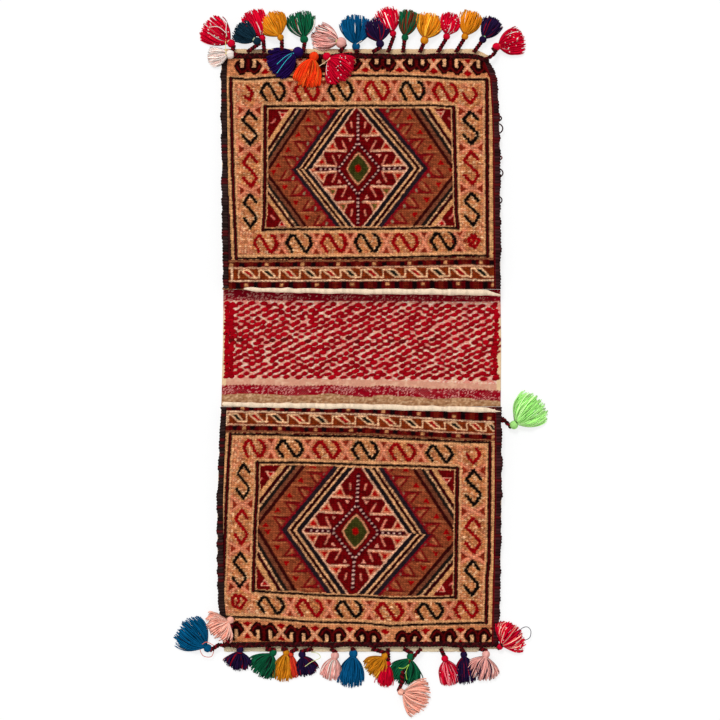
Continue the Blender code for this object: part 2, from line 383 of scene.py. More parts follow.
world = bpy.data.worlds.new("even sky")
world.use_nodes = True
bpy.context.scene.world = world
sky = world.node_tree
SKY_LEVEL = 0.62
strength = SKY_LEVEL + white_for(Wire(sky)) * (1.0 - SKY_LEVEL)
sky.links.new(strength.socket, sky.nodes["Background"].inputs["Strength"])
sky.nodes["Background"].inputs["Color"].default_value = (1.0, 1.0, 1.0, 1.0)

lamp = bpy.data.objects.new("soft lamp", bpy.data.lights.new("soft lamp", "SUN"))
lamp.data.energy = 1.45
lamp.data.angle = math.radians(18)
lamp.rotation_euler = (math.radians(-38), math.radians(-16), 0.0)
bpy.context.scene.collection.objects.link(lamp)

floor_side = 3.0
corner = np.array([-1.0, 1.0]) * floor_side
floor_points = np.stack(np.broadcast_arrays(corner[None, :, None], corner[None, None, :], -0.0006), -1)
floor_mat = bpy.data.materials.new("white paper")
floor_mat.use_nodes = True
tree = floor_mat.node_tree
paper = tree.nodes["Principled BSDF"]
paper.inputs["Base Color"].default_value = (0.92, 0.92, 0.92, 1.0)
paper.inputs["Roughness"].default_value = 1.0
glow_wire = Wire(tree)
glow = glow_wire.node("ShaderNodeEmission", None, {"Color": (1.0, 1.0, 1.0, 1.0), "Strength": 1.06})
share = white_for(glow_wire) * 0.72
mixed = glow_wire.node("ShaderNodeMixShader", None, {0: share, 2: glow})
tree.links.new(paper.outputs[0], mixed.socket.node.inputs[1])
tree.links.new(mixed.socket, tree.nodes["Material Output"].inputs["Surface"])
floor = make("floor", [weave(floor_points, flip=True)], floor_mat)
print("camera at", tuple(round(c, 3) for c in camera.location))

# %% [markdown]
# Hand-made cloth is never quite square. The bag's left edge bows out a little beside the lower pouch, and
# its top right corner is turned under. One function moves every cloth point sideways between the two edges,
# so that faces, seams, braids and backs stay together.

# %% The bag's uneven outline
EDGE_ROWS = [40, 57, 66, 78, 110, 150, 287, 345, 403, 430, 500, 560, 600, 640, 660]
LEFT_EDGE = [223, 222, 221, 220.6, 221, 221.6, 223, 222.5, 221, 219.8, 217.0, 217.2, 218.2, 222, 225]
RIGHT_EDGE = [488, 489.5, 493.5, 497.2, 499.2, 500.2, 500.8, 501.5, 501, 501.6, 501.8, 500.8, 500.2, 499,
              497]
half_bag = float(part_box("upper_back_cloth")[1][0])


def settle(points):
    """Moves x between the uneven edges: left + (x + half) / (2 half) times (right - left), at the point's
    row.

    In the corner past 165 mm to the right and 400 mm up, y falls by 8 mm times the squared share that x has
    run of 25 mm and the share that y has run of 40 mm.
    """
    row = MIDDLE_ROW - points[..., 1] / SQUARE
    left = across(np.interp(row, EDGE_ROWS, LEFT_EDGE))
    right = across(np.interp(row, EDGE_ROWS, RIGHT_EDGE))
    moved = points.copy()
    moved[..., 0] = left + (points[..., 0] + half_bag) / (2 * half_bag) * (right - left)
    turned_x = np.clip((moved[..., 0] - 0.165) / 0.025, 0, 1) ** 2
    turned_y = np.clip((points[..., 1] - 0.400) / 0.040, 0, 1)
    moved[..., 1] -= 0.008 * (turned_x * turned_y)
    return moved


def plan_of(points):
    """Columns and rows of the plan under each point."""
    return MIDDLE_COLUMN + points[..., 0] / SQUARE, MIDDLE_ROW - points[..., 1] / SQUARE


print("half width", half_bag)

# %% [markdown]
# The faces are soumak: coloured yarn wrapped round the warps in fine slanted stitches. The ornament could
# be cut from an image, but here it is drawn, as a weaver counts it: lines and patches in named colours,
# each laid over the last on the points of a fine grid. Figures are kept as short lists of corners, and the
# two pouches share them.

# %% A weaver's drawing on cloth
class Drawing:
    """Colours of cloth points. x and y are the points' places on the plan, in squares."""

    def __init__(self, x, y, colour):
        self.x, self.y, self.colour = x, y, colour

    def on(self, x, y):
        """The same colours, drawn on by other coordinates."""
        return Drawing(x, y, self.colour)

    def fill(self, mask, colour):
        """Colour + mask times (new colour - colour)."""
        self.colour += np.clip(mask, 0, 1)[..., None] * (colour - self.colour)

    def near(self, corners, reach):
        """The points within reach of the corners' box."""
        low, high = np.min(corners, axis=0) - reach, np.max(corners, axis=0) + reach
        return (self.x > low[0]) & (self.x < high[0]) & (self.y > low[1]) & (self.y < high[1])

    def line(self, corners, width, colour, soft=0.8):
        """A line through the corners: full where the distance to it is under half of width."""
        corners = np.asarray(corners, float)
        here = self.near(corners, width / 2 + soft)
        if not here.any():
            return
        x, y = self.x[here], self.y[here]
        nearest = np.full(x.shape, 1e9)
        for (ax, ay), (bx, by) in zip(corners[:-1], corners[1:]):
            dx, dy = bx - ax, by - ay
            t = np.clip(((x - ax) * dx + (y - ay) * dy) / max(dx * dx + dy * dy, 1e-9), 0, 1)
            nearest = np.minimum(nearest, np.hypot(x - ax - t * dx, y - ay - t * dy))
        cover = np.clip((width / 2 - nearest) / soft + 0.5, 0, 1)[:, None]
        self.colour[here] += cover * (colour - self.colour[here])

    def patch(self, corners, colour):
        """A filled outline: a point is in it where a ray from it crosses an odd number of sides."""
        corners = np.asarray(corners, float)
        here = self.near(corners, 0.5)
        if not here.any():
            return
        x, y = self.x[here], self.y[here]
        inside = np.zeros(x.shape, bool)
        for (ax, ay), (bx, by) in zip(corners, np.roll(corners, -1, axis=0)):
            if ay != by:
                inside ^= ((ay > y) != (by > y)) & (x < (bx - ax) * (y - ay) / (by - ay) + ax)
        self.colour[here] += inside[:, None] * (colour - self.colour[here])

    def band(self, amount, low, high, colour, soft=0.8):
        """Everything where amount lies between low and high."""
        cover = np.clip((amount - low) / soft + 0.5, 0, 1) * np.clip((high - amount) / soft + 0.5, 0, 1)
        self.fill(cover, colour)


def dyed(x, y, ground):
    """A drawing that starts all in one colour."""
    return Drawing(x, y, np.tile(np.asarray(ground, float), x.shape + (1,)))


def placed(figure, column, row, wide=1.0, tall=1.0):
    """A figure's corners moved to a place on the plan."""
    return [(column + x * wide, row + y * tall) for x, y in figure]


print("drawing ready")

# %% [markdown]
# The border holds S figures up its sides and lying N figures along its ends, in black and red by turns.
# Between them cross peach lines with small rust triangles. A face is drawn on straightened coordinates,
# which carry the four sides of its frame and of its field to the same places on both pouches, so that one
# set of figures serves.

# %% The border of a face
FRAME = {"left": 231.0, "right": 487.0, "top": 77.5, "bottom": 257.8}
FIELD = {"left": 265.0, "right": 455.0, "top": 106.0, "bottom": 229.3}
SIDE_MIDDLES = (249.3, 471.2)
TOP_ROW, BOTTOM_ROW = 91.8, 243.3
S_FIGURE = [(6.7, -8.5), (-0.3, -16.5), (-7.2, -7.6), (6.2, 5.4), (6.8, 8.2), (0.6, 16.5), (-7.2, 7.6)]
N_FIGURE = [(-6.6, 8.2), (-12, -0.8), (-7.4, -8.4), (-4.6, -8), (5.2, 7.8), (7.6, 8), (12, 0.6), (9.8, -6),
            (5.8, -9.4)]
J_FIGURE = [(-2.2, -8), (2.9, -1.4), (1.6, 3.2), (0.2, 6.6), (-4.4, 2.8)]
BARB_FIGURE = [(-7, -2), (-5.2, 3), (0, 8.4), (6, -0.8), (2.4, -7.4)]
CORNER_HOOK = [(1.5, -7.5), (8.5, -2), (2, 7.5), (-6, 4), (-7.5, -3), (-3, -7.5), (0.5, -1.5), (-2, 1.5)]
FIGURE_DYES = {"b": dye(12, 6, 6), "r": dye(144, 4, 10)}


def crossing(cloth, column, row, upright):
    """Two pale lines that cross in a pink patch, with rust triangles in the four corners that they leave."""
    if upright:
        arms = [[(-5.5, -11), (5.5, 11)], [(5.5, -11), (-5.5, 11)]]
        wedges = [[(-3.4, -10.4), (3.4, -10.4), (0, -4.6)], [(-3.4, 10.4), (3.4, 10.4), (0, 4.6)],
                  [(-7.4, -4), (-7.4, 4), (-4.0, 0)], [(7.4, -4), (7.4, 4), (4.0, 0)]]
    else:
        arms = [[(-12, -5.5), (12, 5.5)], [(12, -5.5), (-12, 5.5)]]
        wedges = [[(-11.4, -4.4), (-11.4, 4.4), (-5.4, 0)], [(11.4, -4.4), (11.4, 4.4), (5.4, 0)]]
    for arm in arms:
        cloth.line(placed(arm, column, row), 4.0, dye(204, 108, 78), 2.0)
    for arm in arms:
        cloth.line(placed(arm, column, row), 1.3, dye(228, 144, 108))
    for wedge in wedges:
        cloth.patch(placed(wedge, column, row), dye(136, 38, 20))


def figure_in_ground(cloth, figure, column, row, colour, wide=1.0, tall=1.0):
    """A figure with its own tan edge, on a ground that is browner inside its bends."""
    corners = placed(figure, column, row, wide, tall)
    cloth.line(corners, 9.0, dye(188, 114, 60), 4.0)
    cloth.line(corners, 5.2, dye(224, 154, 100), 1.6)
    cloth.line(corners, 3.1, colour)


def ring_of(sides):
    """A closed line round four sides."""
    return [(sides["left"], sides["top"]), (sides["right"], sides["top"]),
            (sides["right"], sides["bottom"]), (sides["left"], sides["bottom"]),
            (sides["left"], sides["top"])]


def end_figure(column):
    """The figure at a column of the ends and its size: a small hook stands in the corner past column 470."""
    return (CORNER_HOOK, 0.75) if column > 470 else (N_FIGURE, 1.0)


def border(cloth, plan):
    """The band between frame and field: a mottled ground, crossings, figures and the two dark lines."""
    x, y = cloth.x, cloth.y
    sides = (plan["left"], SIDE_MIDDLES[0]), (plan["right"], SIDE_MIDDLES[1])
    ends = (plan["top"], TOP_ROW), (plan["bottom"], BOTTOM_ROW)
    haze = value_noise(x / 4.2, y / 3.4, 3) * 0.6 + value_noise(x / 13.0, y / 10.0, 4) * 0.5
    cloth.fill(np.clip(haze * 2.0 - 0.75, 0, 0.9), dye(212, 126, 92))
    for places, middle in sides:
        for row, colour, kind in places:
            figure_in_ground(cloth, kind, middle, row, FIGURE_DYES[colour])
    for places, middle in ends:
        for column, colour in places:
            kind, size = end_figure(column)
            figure_in_ground(cloth, kind, column, middle, FIGURE_DYES[colour], size)
    cloth.fill(np.clip(value_noise(x / 1.9, y / 1.4, 5) * 2.6 - 1.5, 0, 0.75), dye(146, 66, 32))
    cloth.fill(np.clip(value_noise(x / 1.8, y / 1.3, 6) * 3.0 - 1.86, 0, 0.85), dye(255, 202, 154))
    # woven lines run in small steps: every other pair of wefts and of warps is drawn a little to the side
    woven = cloth.on(x + 0.5 * np.sign(np.sin(y * 2.4)), y + 0.4 * np.sign(np.sin(x * 2.2)))
    for places, middle in sides:
        for (above, _, _), (below, _, _) in zip(places, places[1:]):
            crossing(cloth, middle, (above + below) / 2, False)
        for row, colour, kind in places:
            woven.line(placed(kind, middle, row), 3.9 if colour == "r" else 3.4, FIGURE_DYES[colour])
    for places, middle in ends:
        columns = [column for column, _ in places]
        for column in [(a + b) / 2 for a, b in zip(columns, columns[1:])]:
            crossing(cloth, column, middle, True)
        for column, colour in places:
            kind, size = end_figure(column)
            width = 4.1 if colour == "r" else 3.4
            woven.line(placed(kind, column, middle, size, size), width, FIGURE_DYES[colour])
    for outline in (FRAME, FIELD):
        ring = ring_of(outline)
        cloth.line(ring, 8.0, dye(222, 158, 108), 1.0)
        cloth.line(ring, 2.6, dye(24, 2, 4))
        for side in (ring[1:3], ring[3:5]):
            cloth.line(side, 4.2, dye(24, 2, 4))
            cloth.line(side, 1.2, dye(84, 4, 10))


# %% [markdown]
# The field is a hooked diamond. Its four quarters are alike but for their slant, as on most hand-woven
# cloth, so each figure is listed once and drawn on the distances from the middle, without their signs. In
# each quarter a slanting edge is where across + k along is the same, and steps of that sum give the stripes
# round the diamond and across the corners.

# %% The field and its diamond
STAR_DYE, PALE = dye(104, 4, 7), dye(198, 106, 74)
# each tent: apex, outer foot, the inner end of its baseline below and above, and where its inner side lands
TENTS = [
    [(14.2, 42.6), (23.0, 32.8), (4.6, 32.0), (4.6, 33.5), (10.8, 34.2)],
    [(24.6, 27.6), (33.4, 17.9), (12.2, 17.1), (12.2, 18.5), (21.0, 19.2)],
    [(34.8, 13.0), (43.6, 3.2), (21.8, 2.4), (21.8, 3.8), (31.2, 4.5)],
]
TENT_MIDDLES = [(14.6, 36.8), (25.2, 22.0), (35.6, 7.3)]
STAR_THREADS = [
    [(15.6, 26.8), (12.6, 20.4), (11.6, 18.0)], [(25.2, 12.4), (22.4, 6.0), (21.4, 3.4)],
    [(6.9, 45.2), (6.3, 43.2), (6.0, 40.0)],
]
STAR_MARKS = [[(16.2, 14.0), (20.6, 13.8), (18.6, 10.4)], [(5.9, 29.6), (9.8, 29.4), (7.8, 25.8)]]
DOTTED = [([(19.4, 0.4), (0, 25.4)], 3.9), ([(0, 27), (0, 54.5)], 3.9), ([(20.6, 0.2), (39.4, 0.2)], 4.4)]
EDGE_STRIPES = [(-3.0, 1.8, dye(26, 18, 22)), (1.8, 4.0, dye(226, 166, 116)), (4.0, 7.2, dye(38, 0, 3)),
                (7.2, 9.2, dye(226, 166, 116)), (9.2, 13.8, dye(36, 24, 30))]
CORNER_STRIPES = [(-1.8, 1.9, dye(54, 8, 8)), (1.9, 5.4, dye(122, 66, 44)), (5.4, 9.2, dye(28, 20, 18)),
                  (9.2, 11.2, dye(226, 168, 120)), (11.2, 14.8, dye(48, 2, 8)),
                  (14.8, 19.4, dye(216, 150, 96)),
                  (19.4, 200.0, STAR_DYE)]


def hook(quarter, x, y):
    """One latch hook with its red triangle at x, y: dark red under a level line, cut by a slanting brown
    thread."""
    quarter.patch(placed([(-5.2, 8.8), (-32, 8.8), (-25, -2.6), (-21.6, -2.6), (-17.8, 2.2), (-14.8, 5.6),
                          (-9.2, 7.0)],
                         x, y), dye(134, 16, 18))
    quarter.line(placed([(-7.2, 7.0), (-12.4, -1.8)], x, y), 1.9, dye(116, 12, 14))
    quarter.line(placed([(-10.4, 5.6), (-15.4, -1.6), (-20.2, -2.8)], x, y), 1.5, dye(180, 102, 66))
    quarter.line(placed([(-5.0, 8.6), (-19, 8.4)], x, y), 1.5, dye(104, 6, 12))
    quarter.line(placed([(-1, 10.4), (-15, 10.4)], x, y), 1.3, dye(172, 98, 60))
    quarter.patch(placed([(-3.0, -2.2), (3.0, -2.2), (0.4, 2.6), (-0.6, 2.6)], x, y), dye(150, 2, 6))
    quarter.line(placed([(-19.9, 5.4), (-19.5, 6.8)], x, y), 2.0, dye(146, 128, 96))


def field(cloth, x, y, plan):
    """The ground, the corner stripes, the running hooks and the hooked diamond, drawn quarter by quarter."""
    inside = ((cloth.x > FIELD["left"] + 3.0) & (cloth.x < FIELD["right"] - 3.0)
              & (cloth.y > FIELD["top"] + 2.6) & (cloth.y < FIELD["bottom"] - 2.2))
    x, y, colour = x[inside], y[inside], cloth.colour[inside]
    shape = plan["diamond"]
    middle_x, middle_y = shape["middle"]
    off_x = x - middle_x - shape["lean"] * (y - middle_y)
    off_y = y - middle_y - shape["tilt"] * (x - middle_x)
    for right in (0, 1):
        for below in (0, 1):
            here = ((off_x >= 0) == bool(right)) & ((off_y >= 0) == bool(below))
            quarter = Drawing(np.abs(off_x[here]) / shape["wide"][right], np.abs(off_y[here]), colour[here])
            edge_slant, edge_reach = shape["edge"][below][right]
            corner_slant, corner_reach = shape["corner"][below][right]
            edge = quarter.x + edge_slant * quarter.y - edge_reach
            corner = quarter.x + corner_slant * quarter.y - corner_reach
            quarter.fill(np.ones(len(edge)), dye(142, 66, 38))
            for number in range(5):
                hook_y = shape["hooks"][below][right] + 15.3 * number
                hook(quarter, corner_reach - corner_slant * hook_y - 7.2, hook_y)
            quarter.band(edge, 8, 16.5, dye(128, 10, 22), 2.5)
            for low, high, stripe in CORNER_STRIPES:
                quarter.band(corner, low, high, stripe, 0.7)
            flecks = value_noise(quarter.x / 1.2, quarter.y / 1.2, 7) > 0.62
            quarter.fill((flecks & (corner > 9.4) & (corner < 11.4)) * 0.8, dye(64, 40, 34))
            edge_x = corner_reach - corner_slant * 53.5 + 19.4
            quarter.patch([(edge_x - 3.0, 57), (edge_x + 6.0, 57.5), (edge_x + 2.2, 50.5)],
                          dye(226, 150, 122))
            quarter.patch([(edge_x - 0.9, 56.2), (edge_x + 4.1, 56.5), (edge_x + 2.1, 52.4)],
                          dye(164, 8, 12))
            quarter.line([(edge_x + 9, 50), (edge_x + 12.5, 46.5)], 1.7, dye(214, 112, 96))
            # the star fills the diamond, and pale tents with red triangles stand along the edge between its
            # hooks
            quarter.fill(np.clip(-edge - 2.2, 0, 1), STAR_DYE)
            quarter.y /= shape["tall"]
            for number, (tent, (tent_x, tent_y)) in enumerate(zip(TENTS, TENT_MIDDLES)):
                quarter.patch(tent, PALE)
                quarter.line([tent[0], tent[1]], 1.3, dye(240, 180, 142))
                quarter.line([tent[1], tent[2]], 1.6, dye(240, 178, 142))
                quarter.line([tent[0], tent[4]], 1.1, dye(228, 156, 120))
                triangle = [(tent_x, tent_y + 2.9), (tent_x - 2.9, tent_y - 2.0),
                            (tent_x + 2.9, tent_y - 2.0)]
                leafy = plan["leaf"] is not None and below and number < 2
                quarter.patch(triangle, plan["leaf"] if leafy else dye(170, 8, 10))
            for thread in STAR_THREADS:
                quarter.line(thread, 1.5, dye(220, 130, 104))
            for mark in STAR_MARKS:
                quarter.patch(mark, dye(228, 144, 120))
            quarter.line([(40.6, 0), (48, 0)], 3.6, PALE)
            quarter.line([(20, 0), (41.4, 0)], 3.4, dye(74, 1, 6))
            quarter.y *= shape["tall"]
            quarter.band(edge, -4.6, -3.0, dye(238, 178, 142), 0.7)
            for low, high, stripe in EDGE_STRIPES:
                quarter.band(edge, low, high, stripe, 0.7)
            quarter.fill((flecks & (edge > 7.1) & (edge < 8.8)) * 0.75, dye(96, 40, 34))
            colour[here] = quarter.colour
    scaled_x = np.where(off_x > 0, off_x / shape["wide"][1], off_x / shape["wide"][0])
    whole = Drawing(scaled_x, off_y / shape["tall"], colour)
    # pale dots on dark lines
    for corners, pitch in DOTTED:
        (ax, ay), (bx, by) = corners
        count = max(2, round(math.hypot(bx - ax, by - ay) / pitch))
        upright = ax == bx
        for across_sign in (1,) if upright else (-1, 1):
            for along_sign in (-1, 1):
                path = [(ax * across_sign, ay * along_sign), (bx * across_sign, by * along_sign)]
                whole.line(path, 3.0, dye(60, 0, 12))
                for number in range(count):
                    t = (number + 0.5) / count
                    px = path[0][0] + t * (path[1][0] - path[0][0])
                    py = path[0][1] + t * (path[1][1] - path[0][1])
                    reach = 0.4 if upright else 0.15
                    whole.line([(px - reach, py), (px + reach, py)], 1.7, dye(216, 166, 150), 0.5)
    # the heart of the diamond: rounded a little, by a power of 1.2 on each distance
    heart = (np.abs(whole.x) / 11.6) ** 1.2 + (np.abs(whole.y) / shape["heart"]) ** 1.2
    whole.fill(np.clip((1.12 - heart) * 9, 0, 1), dye(70, 2, 8))
    whole.fill(np.clip((1.02 - heart) * 9, 0, 1), dye(222, 146, 104))
    whole.fill(np.clip((0.88 - heart) * 9, 0, 1), dye(56, 54, 18))
    spot = np.hypot(whole.x / 3.3, (whole.y + 0.4) / 4.4)
    whole.fill(np.clip((1.0 - spot) * 3, 0, 1), dye(150, 2, 4))
    cloth.colour[inside] = whole.colour


# %% [markdown]
# Past the frame, the face has a ram's horn border at its closed end and three narrow bands at its mouth: a
# checker, a zigzag of outlined slanting blocks, and a checker again. They are drawn on distances from the
# frame.

# %% The bands past the frame
def horns(cloth, inward, stems):
    """Ram's horns. inward is the distance in from the end braid, 0 to 20 squares, and stems are their
    columns."""
    end = cloth.on(cloth.x, inward)
    inside = (inward < 18.6) & (inward > -4)
    for stem in stems:
        for side in (-1, 1):
            half = end.on(np.where(inside, (cloth.x - stem) * side, -99.0), inward)
            half.patch([(-0.5, -3), (5.4, -3), (5.4, 3), (8.0, 0.8), (10.6, 2.4), (14.6, 7.4), (12.0, 12.8),
                        (7.8, 16.4), (3.8, 15.6), (2.4, 13.2), (-0.5, 13.8)], dye(30, 3, 4))
            half.line([(0.4, -2), (0.6, 9), (3.0, 12.2), (6.8, 13.6), (9.8, 10.6), (11.6, 7.4)], 1.6,
                      dye(92, 6, 8))
            half.patch([(4.4, -0.5), (7.7, -0.5), (7.7, 8.4), (4.4, 8.4)], dye(228, 168, 120))
    for stem in stems:
        middle = stem + 17.2
        between = end.on(np.where(inside, cloth.x, -99.0), inward)
        for arm in ([(-4.0, 2.6), (4.0, 12.4)], [(4.0, 2.6), (-4.0, 12.4)]):
            between.line(placed(arm, middle, 0), 1.9, dye(236, 164, 124))
        between.patch(placed([(-4.2, -0.6), (4.2, -0.6), (0, 5.0)], middle, 0), dye(146, 4, 8))
        between.patch(placed([(0, 10.6), (5.0, 14.6), (0, 17.0), (-5.0, 14.6)], middle, 0), dye(150, 4, 8))


def checker(cloth, distance, low, high, start, pitch, dot_start, dots_at):
    """A maroon strip with black and rust blocks by turns, and a cream dot at every other black."""
    cloth.band(distance, low, high, dye(84, 2, 6), 0.7)
    inside = np.clip((distance - low - 0.2) * 2, 0, 1) * np.clip((high - 0.2 - distance) * 2, 0, 1)
    phase = np.mod(cloth.x - start + pitch / 2, pitch) - pitch / 2
    cloth.fill(inside * np.clip(2.9 - np.abs(phase), 0, 1), dye(20, 6, 8))
    cloth.fill(inside * np.clip(np.abs(phase) - 5.6, 0, 1) * 0.7, dye(104, 26, 12))
    dot = np.abs(np.mod(cloth.x - dot_start + pitch, 2 * pitch) - pitch)
    cloth.fill(np.clip(2.2 - dot, 0, 1) * np.clip(1.9 - np.abs(distance - dots_at), 0, 1), dye(208, 144, 92))


def zigzag(cloth, down, low_red, uprights):
    """Cream outlined slanting blocks, red and black by turns, on rust. down counts squares from the band's
    top."""
    inside = (down > -0.6) & (down < 11.6)
    cloth.band(down, 0.0, 11.2, ZIGZAG_BROWN, 0.6)
    grain = value_noise(cloth.x / 1.6, cloth.y / 1.6, 9)
    cloth.fill(inside * np.clip(grain * 1.6 - 0.9, 0, 0.5), dye(96, 20, 12))
    band = cloth.on(np.where(inside, cloth.x, -999.0), down)
    pale = dye(250, 196, 148)
    for number, (column, following) in enumerate(zip(uprights, uprights[1:])):
        k = (following - column) / 20.2
        blocks = dye(160, 6, 10) if (number % 2 == 0) == low_red else dye(22, 20, 16)
        band.patch(placed([(4.6, 2.2), (10.6, 1.8), (15.8, 7.9), (11.0, 8.2)], column, 0, k), blocks)
        for thread in ([(0, 8.9), (0, 1.5), (9.2, 1.2)], [(9.6, 1.4), (15.6, 7.6)],
                       [(3.4, 2.4), (11.0, 8.9), (20.2, 9.0)]):
            band.line(placed(thread, column, 0, k), 1.35, pale, 0.7)


# %% Both faces drawn
PLANS = {
    "upper": {
        "left": [(93, "r", J_FIGURE), (127.5, "b", S_FIGURE), (170, "r", S_FIGURE), (210.5, "b", S_FIGURE)],
        "right": [(94, "r", BARB_FIGURE), (127, "b", S_FIGURE), (168, "r", S_FIGURE), (210, "b", S_FIGURE)],
        "top": [(273, "b"), (307, "r"), (341, "b"), (377.5, "r"), (413.5, "b"), (446.5, "r")],
        "bottom": [(267.2, "r"), (300.6, "b"), (334.2, "r"), (366.6, "b"), (403.4, "r"), (440.2, "b"),
                   (471.8, "r")],
        "frame_left": ([57, 78, 170, 255, 290], [230.4, 230.7, 232.8, 236.6, 238.4]),
        "field_left": ([57, 106, 180, 215, 232], [265.1, 265.1, 265.0, 264.3, 262.6]),
        "field_right": ([57, 106, 178, 215, 232], [453.7, 453.7, 455.5, 456.3, 458.4]),
        "frame_right": ([57, 80, 290], [486.8, 487.0, 487.0]),
        "frame_top": ([231, 249, 272, 360, 407, 436, 455, 486],
                      [78.0, 79.2, 77.0, 75.4, 75.9, 77.2, 79.0, 79.6]),
        "field_top": ([265, 362, 404, 429, 454], [106.3, 105.7, 105.9, 105.2, 106.9]),
        "field_bottom": ([262, 302, 385, 436, 459], [230.0, 229.4, 229.2, 227.9, 228.4]),
        "frame_bottom": ([236, 311, 385, 427, 465, 486], [258.8, 258.4, 257.9, 256.8, 255.7, 256.1]),
        "stems": [248.0, 283.0, 317.5, 348.0, 382.5, 416.5, 450.5, 484.5],
        "leaf": dye(104, 84, 34),
        # for the diamond: slant and reach of its edge and of its corners in the four quarters, [above,
        # below][left, right]
        "diamond": {
            "middle": (357.9, 168.9), "lean": 0.0, "tilt": -0.008, "wide": (1.0, 1.13), "tall": 1.03,
            "heart": 16.4,
            "edge": [[(0.7125, 50.1), (0.7275, 48.2)], [(0.775, 52.6), (0.685, 48.1)]],
            "corner": [[(0.6625, 89.7), (0.594, 83.7)], [(0.7275, 93.6), (0.697, 90.0)]],
            "hooks": [[4.1, 5.6], [2.9, 1.0]],
        },
        "uprights": [239.2, 259.5, 279.8, 300.1, 320.4, 340.6, 361, 383, 405, 427, 449.2, 471, 493],
        "first_red": True,
    },
    "lower": {
        "left": [(124, "b", S_FIGURE), (168, "r", S_FIGURE), (209.6, "b", S_FIGURE),
                 (241.4, "r", CORNER_HOOK)],
        "right": [(92, "r", BARB_FIGURE), (124.6, "b", S_FIGURE), (170, "r", S_FIGURE),
                  (211, "b", S_FIGURE)],
        "top": [(260.3, "r"), (295.6, "b"), (330.6, "r"), (367.2, "b"), (402.6, "r"), (437.8, "b")],
        "bottom": [(282, "b"), (318, "r"), (355, "b"), (393, "r"), (431, "b"), (466, "r")],
        "frame_left": ([405, 436, 478, 520, 571, 612, 645],
                       [231.5, 230.8, 227.9, 226.0, 223.6, 221.8, 221.0]),
        "field_left": ([405, 464, 486, 529, 592, 645], [258.0, 257.5, 257.1, 254.8, 253.0, 252.5]),
        "field_right": ([405, 468, 543, 595, 645], [457.4, 457.3, 456.3, 455.8, 455.6]),
        "frame_right": ([405, 445, 560, 580, 623, 645], [489.8, 489.6, 488.9, 486.9, 486.2, 486.0]),
        "frame_top": ([232, 272, 301, 365, 409, 449, 487],
                      [433.9, 434.2, 435.4, 436.4, 439.1, 441.0, 442.4]),
        "field_top": ([257, 296, 330, 365, 419, 457], [462.3, 462.2, 463.2, 464.6, 465.8, 467.8]),
        "field_bottom": ([252, 282, 330, 365, 394, 439, 457],
                         [590.5, 593.0, 595.8, 596.8, 598.6, 598.0, 597.2]),
        "frame_bottom": ([223, 258, 282, 311, 365, 390, 419, 459, 487],
                         [616.7, 617.6, 619.5, 621.9, 623.3, 626.0, 624.8, 623.6, 622.8]),
        "stems": [230.0, 264.0, 297.5, 332.5, 368.0, 408.5, 443.5, 478.0],
        "leaf": None,
        "diamond": {
            "middle": (355.5, 531.6), "lean": -0.05, "tilt": 0.034, "wide": (1.19, 1.19), "tall": 1.06,
            "heart": 17.2,
            "edge": [[(0.63, 48.0), (0.625, 47.2)], [(0.65, 48.6), (0.672, 50.0)]],
            "corner": [[(0.604, 85.0), (0.60, 85.3)], [(0.56, 82.7), (0.65, 88.0)]],
            "hooks": [[3.8, 2.8], [3.0, 3.6]],
        },
        "uprights": [228.5, 246.9, 267.2, 288, 309.6, 332.4, 355.4, 378.2, 400.4, 422.4, 444.6, 466.6, 485.4,
                     499],
        "first_red": False,
    },
}


def straightened(plan, x, y):
    """Coordinates in which the frame and the field have straight sides at the places of FRAME and FIELD."""
    sides = [np.interp(y, *plan[name]) for name in ("frame_left", "field_left", "field_right",
                                                    "frame_right")]
    rows = [np.interp(x, *plan[name]) for name in ("frame_top", "field_top", "field_bottom", "frame_bottom")]

    def between(value, at, to):
        """Each stretch between two sides is carried to its own stretch, and past the outer ones nothing
        scales."""
        out = np.where(value < at[0], value - at[0] + to[0], value - at[3] + to[3])
        for number in range(3):
            part = (value >= at[number]) & (value <= at[number + 1])
            scale = (to[number + 1] - to[number]) / (at[number + 1] - at[number])
            out = np.where(part, to[number] + (value - at[number]) * scale, out)
        return out

    s = between(x, sides, [FRAME["left"], FIELD["left"], FIELD["right"], FRAME["right"]])
    t = between(y, rows, [FRAME["top"], FIELD["top"], FIELD["bottom"], FRAME["bottom"]])
    return s, t


